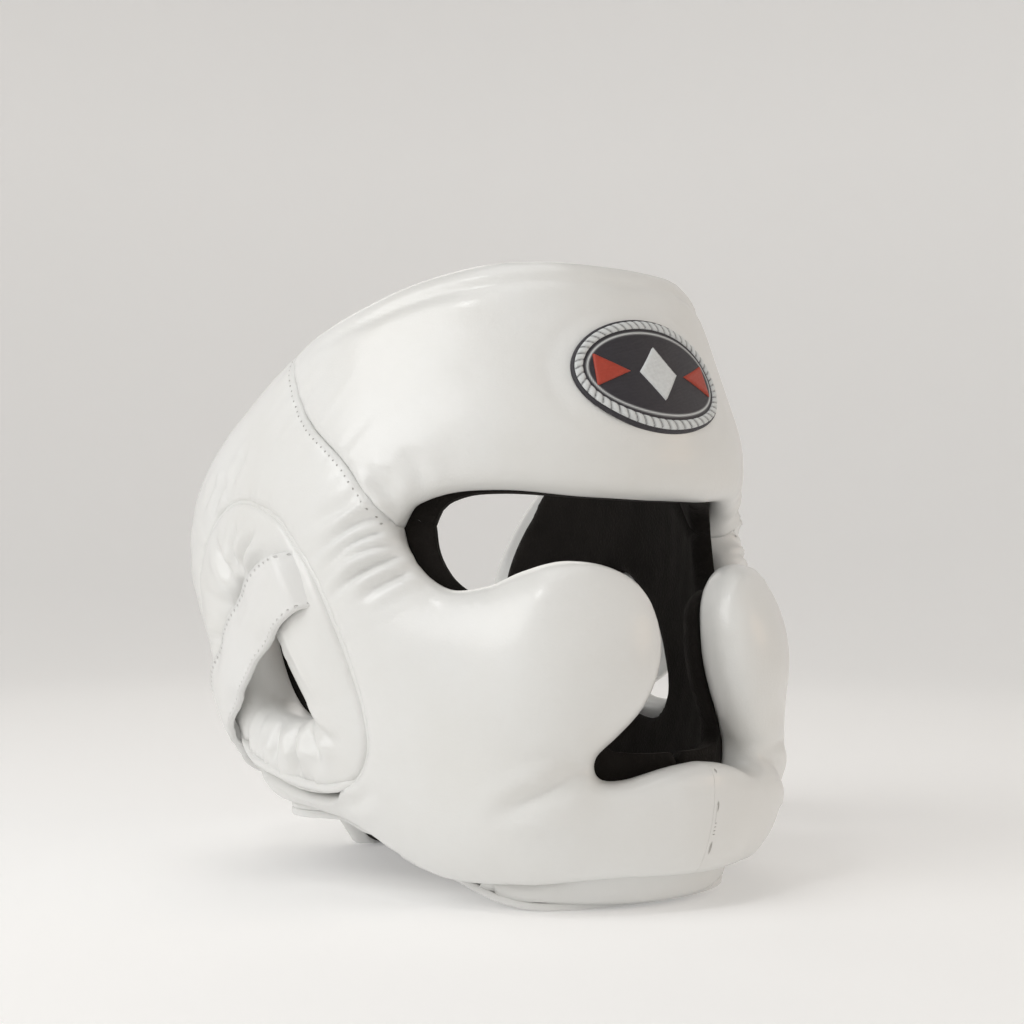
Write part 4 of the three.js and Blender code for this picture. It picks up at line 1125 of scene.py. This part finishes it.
def ring_relief(leather, here, finish, side):
    pattern, x, y, hole = leather.pattern, here.x, here.y, here.to_edge
    seed = finish.seed + (80 if side > 0 else 20)
    front = bell((pattern.wrapped(x, y)[0], 68, 9)) * smooth(y, 65, 80)
    total = (0.5 * noise(x, y, 26, seed) + 0.1 * noise(x, y, 12, seed + 1)) * (1 - 0.75 * front)
    total = total + crease_relief(pattern, here.points, RING_CREASES)
    total = total + front * 0.9 * bell((hole, 9, 1.6))
    total = total + pucker_relief(here.along, here.to_seam, 0.22, 7.0, 5.0, seed + 3) * (1 - 0.6 * front)
    turn = np.degrees(np.arctan2(y - 85, x - 150)) * 0.55
    total = total + pucker_relief(turn, hole, 0.3, 7.0, 7.0, seed + 5) * (1 - 0.8 * front)
    return total * finish.crease * (0.4 + 0.6 * smooth(hole, 0.5, 4))


def neck_relief(leather, here, finish, side):
    pattern, x, y = leather.pattern, here.x, here.y
    mirror = here.points * (-1, 1) + (2 * math.pi * pattern.arc, 0)
    total = 0.5 * noise(x, y, 32, finish.seed + 2) + 0.2 * noise(x, y, 12, finish.seed + 3)
    total = total + crease_relief(pattern, here.points, NECK_CREASES)
    total = total + crease_relief(pattern, mirror, NECK_CREASES[:3])
    total = total + pucker_relief(here.along + 60 * here.mirrored, here.to_seam, 0.5, 7.0, 8.0, 41)
    total = total + pucker_relief(x, here.to_edge, 0.28, 7.0, 6.0, 43)
    return total * finish.crease * (0.4 + 0.6 * smooth(here.to_edge, 0.5, 5))


def chin_relief(leather, here, finish, side):
    return 0.3 * noise(here.x, here.y, 34, finish.seed + 4) * finish.crease


# Flat shapes

def suede_lines(leather):
    """The lines of the suede: it shows past the leather in the face opening and stops short of the rims"""
    lines, down = leather.lines, np.array((0, SUEDE_SHORT))
    top, seam, rear = lines["rim_front"][-1] - down, lines["suede_brow_seam"], lines["rim_rear"]
    share = np.linspace(0, 1, len(rear))[:, None]
    return dict(
        lines, brow_edge=lines["suede_brow_edge"], cheek_edge=lines["suede_cheek_edge"],
        brow_seam=np.concatenate([[top], seam[np.linalg.norm(seam - top, axis=1) > 4]]),
        rim_rear=rear - (1 - share) * down - np.minimum(1, 3 * share) * (SUEDE_SHORT + 2, 0),
        neck_top=lines["neck_top"] - down, neck_seam=lines["neck_seam"][:-3], rim_front=lines["rim_front"] - down,
        rim_side=lines["rim_side"] - down)


def region(leather, which, by, suede=False):
    """The outline of a flat shape, drawn in by so many millimetres, and its corners"""
    lines = suede_lines(leather) if suede else leather.lines
    if which == "brow":
        seam, edge, rim = (lines[name] for name in ("brow_seam", "brow_edge", "rim_front"))
        parts = [flipped(seam)[::-1], flipped(edge), edge, seam[::-1], rim[::-1], flipped(rim)[::-1]]
    elif which == "side":
        parts = [
            lines["chin_seam"][::-1], lines["jaw"], lines["neck_seam"], lines["rim_rear"][::-1],
            lines["rim_side"][::-1], lines["brow_seam"], lines["cheek_edge"]]
    elif which == "neck":
        far = (2 * math.pi * leather.pattern.arc, 0)
        bottom, top, seam = (lines[name] * (-1, 1) + far for name in ("neck_bottom", "neck_top", "neck_seam"))
        parts = [lines["neck_bottom"], bottom[::-1], seam, top, lines["neck_top"][::-1], lines["neck_seam"][::-1]]
    else:
        bottom, top = lines["chin_bottom"], lines["chin_top"]
        parts = [bottom[::-1], top[::-1], flipped(top)[::-1], flipped(bottom)[::-1]]
    loop = np.concatenate([part[:-1] for part in parts])
    drawn = inset(loop, np.where(np.abs(loop[:, :1]) < 0.3, 0.03, by) if which == "side" else by)
    corners = [drawn[int(np.linalg.norm(loop - part[0], axis=1).argmin())] for part in parts]
    return drawn, corners


def half_mesh(leather, which, by, cell, suede=False):
    """A flat shape that is alike on both sides of a line, made from one side and its mirror image"""
    loop, corners = region(leather, which, by, suede)
    middle, side = (math.pi * leather.pattern.arc, -1) if which == "neck" else (0.0, 1)
    kept = (loop[:, 0] - middle) * side > -0.01
    first = int(np.where(kept & ~np.roll(kept, 1))[0][0])
    half = np.roll(loop, -first, 0)[:kept.sum()]
    half[np.abs(half[:, 0] - middle) < 0.02, 0] = middle
    corners = [c for c in corners if (c[0] - middle) * side > 0.5] + [half[0], half[-1]]
    return mirrored_mesh(flat_mesh([half], corners, cell), middle)


# Operators

def started(context):
    """What every operator starts from: the leather on its pattern, the finish and the size of a cell"""
    finish = context.scene.headgear_finish
    return Leather(Pattern(context.scene.headgear_sizes)), finish, finish.cell / MM


class HEADGEAR_OT_brow_pad(bpy.types.Operator):
    """Builds the padded brow with its rolled rim"""
    bl_idname = "headgear.brow_pad"
    bl_label = "Brow pad"

    def execute(self, context):
        leather, finish, cell = started(context)
        bm = thickened(half_mesh(leather, "brow", SEAM_GAP, cell * 1.2), 5)
        make_pad(leather, "brow_pad", bm, "face", brow_relief, finish)
        return {"FINISHED"}


class HEADGEAR_OT_side_pads(bpy.types.Operator):
    """Builds the two side panels, from the temples to the cheeks and the chin bar"""
    bl_idname = "headgear.side_pads"
    bl_label = "Side pads"

    def execute(self, context):
        leather, finish, cell = started(context)
        loop, corners = region(leather, "side", SEAM_GAP)
        flat = thickened(flat_mesh([loop, inset(leather.lines["ear_ring"], -RING_GAP)], corners, cell), 5)
        for name, side, seams in (
                ("side_pad_left", 1, ["brow_seam", "chin_seam"]), ("side_pad_right", -1, ["brow_seam"])):
            make_pad(leather, name, flat.copy(), "face", side_relief, finish, seams, side)
        flat.free()
        return {"FINISHED"}


class HEADGEAR_OT_ear_rings(bpy.types.Operator):
    """Builds the padded rolls round the ear openings"""
    bl_idname = "headgear.ear_rings"
    bl_label = "Ear rings"

    def execute(self, context):
        leather, finish, cell = started(context)
        ring, hole = leather.lines["ear_ring"], leather.lines["ear_hole"]
        flat = thickened(flat_mesh([inset(ring, RING_GAP), hole], [], cell * 0.9), 5)
        for name, side in (("ear_ring_left", 1), ("ear_ring_right", -1)):
            make_pad(leather, name, flat.copy(), "face", ring_relief, finish, side=side, lip=3)
            piping(leather, name + "_piping", ring, side)
        flat.free()
        return {"FINISHED"}


class HEADGEAR_OT_neck_pad(bpy.types.Operator):
    """Builds the padded neck piece at the back"""
    bl_idname = "headgear.neck_pad"
    bl_label = "Neck pad"

    def execute(self, context):
        leather, finish, cell = started(context)
        bm = thickened(half_mesh(leather, "neck", SEAM_GAP, cell * 1.5), 5)
        make_pad(leather, "neck_pad", bm, "neck", neck_relief, finish)
        return {"FINISHED"}


class HEADGEAR_OT_chin_pad(bpy.types.Operator):
    """Builds the padded panel under the chin bar"""
    bl_idname = "headgear.chin_pad"
    bl_label = "Chin pad"

    def execute(self, context):
        leather, finish, cell = started(context)
        bm = thickened(half_mesh(leather, "chin", SEAM_GAP, cell * 1.2), 4)
        make_pad(leather, "chin_pad", bm, "chin", chin_relief, finish)
        return {"FINISHED"}


class HEADGEAR_OT_linings(bpy.types.Operator):
    """Builds the black suede linings with their rounded edges"""
    bl_idname = "headgear.linings"
    bl_label = "Linings"

    def execute(self, context):
        leather, finish, cell = started(context)
        cell = cell * 2.2
        for which, seed in (("brow", 61), ("neck", 62)):
            bm = thickened(half_mesh(leather, which, SUEDE_GAP, cell, suede=True), 3)
            lining_piece(leather.pattern, which + "_lining", bm, seed)
        loop, corners = region(leather, "side", SUEDE_GAP, suede=True)
        flat = thickened(flat_mesh([loop, inset(leather.lines["ear_hole"], -5)], corners, cell), 3)
        lining_piece(leather.pattern, "side_lining_left", flat.copy(), 63)
        lining_piece(leather.pattern, "side_lining_right", flat, 64, side=-1)
        return {"FINISHED"}


class HEADGEAR_OT_ear_straps(bpy.types.Operator):
    """Lays the flat straps over the ear rings and round the back"""
    bl_idname = "headgear.ear_straps"
    bl_label = "Ear straps"

    def execute(self, context):
        leather = started(context)[0]
        ear_strap(leather, "ear_strap_left", 1, 1)
        ear_strap(leather, "ear_strap_right", -1, 0)
        return {"FINISHED"}


class HEADGEAR_OT_chin_strap(bpy.types.Operator):
    """Lays the chin strap under the jaw, with its fastened end"""
    bl_idname = "headgear.chin_strap"
    bl_label = "Chin strap"

    def execute(self, context):
        pattern = started(context)[0].pattern
        chin_ribbon(pattern, "chin_strap")
        chin_ribbon(pattern, "chin_strap_tab")
        return {"FINISHED"}


class HEADGEAR_OT_badge(bpy.types.Operator):
    """Builds the oval badge on the brow: a dark field, a twisted ring, a diamond and two wedges"""
    bl_idname = "headgear.badge"
    bl_label = "Badge"

    def execute(self, context):
        leather = started(context)[0]
        pattern = leather.pattern
        border = pattern.mm("badge_border") - 0.8
        outer, inner, thread = (oval(pattern, smaller) for smaller in (2, 2 + 2 * border, 5.2 + 2 * border))

        def strands(points):
            d, _, s, _ = nearest_on(points, outer, True)
            return np.abs(np.sin(math.pi * (s / 3.0 + d * 0.22)))

        def threads(points):
            return np.exp(-((nearest_on(points, thread, True)[0] / 0.34) ** 2))

        badge_piece(
            leather, "badge_base", [oval(pattern)], 0.1, 1.7, 0.42, "badge_black",
            relief=lambda points: 0.22 * threads(points), edge=1.2, pale=threads)
        # The ring's dark mark is painted shade in the grooves between its strands
        badge_piece(
            leather, "badge_border", [outer, inner], 1.5, 2.5, 0.36, "badge_white",
            relief=lambda points: 0.55 * strands(points) ** 0.6 - 0.4, edge=border / 2,
            dark=lambda points: (1 - strands(points)) ** 3)
        half_size = np.array([pattern.mm("badge_width") / 2, pattern.mm("badge_height") / 2])
        for name, corners, slot in (
                ("badge_diamond", DIAMOND, "badge_white"), ("badge_wedge_left", WEDGE, "badge_red"),
                ("badge_wedge_right", [(-a, b) for a, b in WEDGE], "badge_red")):
            corners = badge_place(pattern, np.array(corners) * half_size)
            sides = zip(corners, np.roll(corners, -1, 0))
            loop = np.concatenate([np.linspace(a, b, 24, endpoint=False) for a, b in sides])
            badge_piece(leather, name, [loop], 1.6, 2.3, 0.6, slot, edge=0.6)
        return {"FINISHED"}


class HEADGEAR_OT_stage(bpy.types.Operator):
    """Sets the pale floor, the soft lights and the camera"""
    bl_idname = "headgear.stage"
    bl_label = "Stage"

    def execute(self, context):
        scene = context.scene
        scene.view_settings.view_transform = "Standard"
        paper = Shading("Stage paper")
        paper.uniform(
            Specular_IOR_Level=0.1, Emission_Strength=0.19, Emission_Color=(1, 1, 1, 1),
            Base_Color=(0.87, 0.862, 0.85, 1), Roughness=0.95)
        bm = bmesh.new()
        profile = [(0, 0), (1.4, 0)] + [
            (1.4 + math.sin(a), 1 - math.cos(a)) for a in np.linspace(0, math.pi / 2, 12)[1:]] + [(2.4, 2.6)]
        verts = [bm.verts.new((x, 0, z)) for x, z in profile]
        edges = [bm.edges.new(pair) for pair in zip(verts, verts[1:])]
        bmesh.ops.spin(
            bm, geom=verts + edges, cent=(0, 0, 0), axis=(0, 0, 1), angle=2 * math.pi, steps=96, use_merge=True)
        bmesh.ops.remove_doubles(bm, verts=bm.verts, dist=1e-5)
        bmesh.ops.recalc_face_normals(bm, faces=bm.faces)
        if bm.faces[:][0].normal.z < 0:
            bmesh.ops.reverse_faces(bm, faces=bm.faces)
        object_from(bm, "stage_bowl", paper.material)
        world = bpy.data.worlds.new("Soft room")
        world.use_nodes = True
        background = world.node_tree.nodes["Background"].inputs
        background["Color"].default_value, background["Strength"].default_value = (1, 0.93, 0.84, 1), 0.15
        scene.world = world
        for name, azimuth, elevation, away, size, power, colour in LIGHTS:
            a, e = math.radians(azimuth), math.radians(elevation)
            back = Vector((math.sin(a) * math.cos(e), -math.cos(a) * math.cos(e), math.sin(e)))
            light = bpy.data.lights.new(name, "AREA")
            light.shape, light.size, light.energy, light.color = "DISK", size, power, colour
            lamp = bpy.data.objects.new(name, light)
            lamp.location = Vector((0, 0.01, 0.11)) + back * away
            lamp.rotation_euler = (-back).to_track_quat("-Z", "Y").to_euler()
            scene.collection.objects.link(lamp)
        camera = bpy.data.cameras.new("Camera")
        camera.lens, camera.sensor_width = CAMERA_FOCUS * CAMERA_SENSOR, CAMERA_SENSOR
        camera.shift_x, camera.shift_y = CAMERA_SHIFT
        camera.clip_start, camera.clip_end = 0.01, 50
        eye = bpy.data.objects.new("Camera", camera)
        look = Vector((math.sin(CAMERA_TURN), math.cos(CAMERA_TURN), 0))
        eye.location = Vector((0, scene.headgear_sizes.row_shift, CAMERA_HEIGHT)) - CAMERA_AWAY * look
        eye.rotation_euler = look.to_track_quat("-Z", "Y").to_euler()
        scene.collection.objects.link(eye)
        scene.camera = eye
        return {"FINISHED"}


OPERATORS = (
    HEADGEAR_OT_brow_pad, HEADGEAR_OT_side_pads, HEADGEAR_OT_ear_rings, HEADGEAR_OT_neck_pad, HEADGEAR_OT_chin_pad,
    HEADGEAR_OT_linings, HEADGEAR_OT_ear_straps, HEADGEAR_OT_chin_strap, HEADGEAR_OT_badge, HEADGEAR_OT_stage,
)


class HEADGEAR_PT_panel(bpy.types.Panel):
    """Lists the headgear's pieces, sizes and colours"""
    bl_label = "Headgear"
    bl_idname = "HEADGEAR_PT_panel"
    bl_space_type = "VIEW_3D"
    bl_region_type = "UI"
    bl_category = "Headgear"

    def draw(self, context):
        for settings in (context.scene.headgear_sizes, context.scene.headgear_finish):
            box = self.layout.box()
            for name in settings.__annotations__:
                box.prop(settings, name)
        for operator in OPERATORS:
            self.layout.operator(operator.bl_idname)


CLASSES = (HeadgearSizes, HeadgearFinish, *OPERATORS, HEADGEAR_PT_panel)


def register():
    for cls in CLASSES:
        bpy.utils.register_class(cls)
    bpy.types.Scene.headgear_sizes = PointerProperty(type=HeadgearSizes)
    bpy.types.Scene.headgear_finish = PointerProperty(type=HeadgearFinish)


def unregister():
    del bpy.types.Scene.headgear_finish
    del bpy.types.Scene.headgear_sizes
    for cls in reversed(CLASSES):
        bpy.utils.unregister_class(cls)


def main():
    register()
    for operator in OPERATORS:
        group, name = operator.bl_idname.split(".")
        getattr(getattr(bpy.ops, group), name)()
    bpy.context.view_layer.update()


if __name__ == "__main__":
    main()
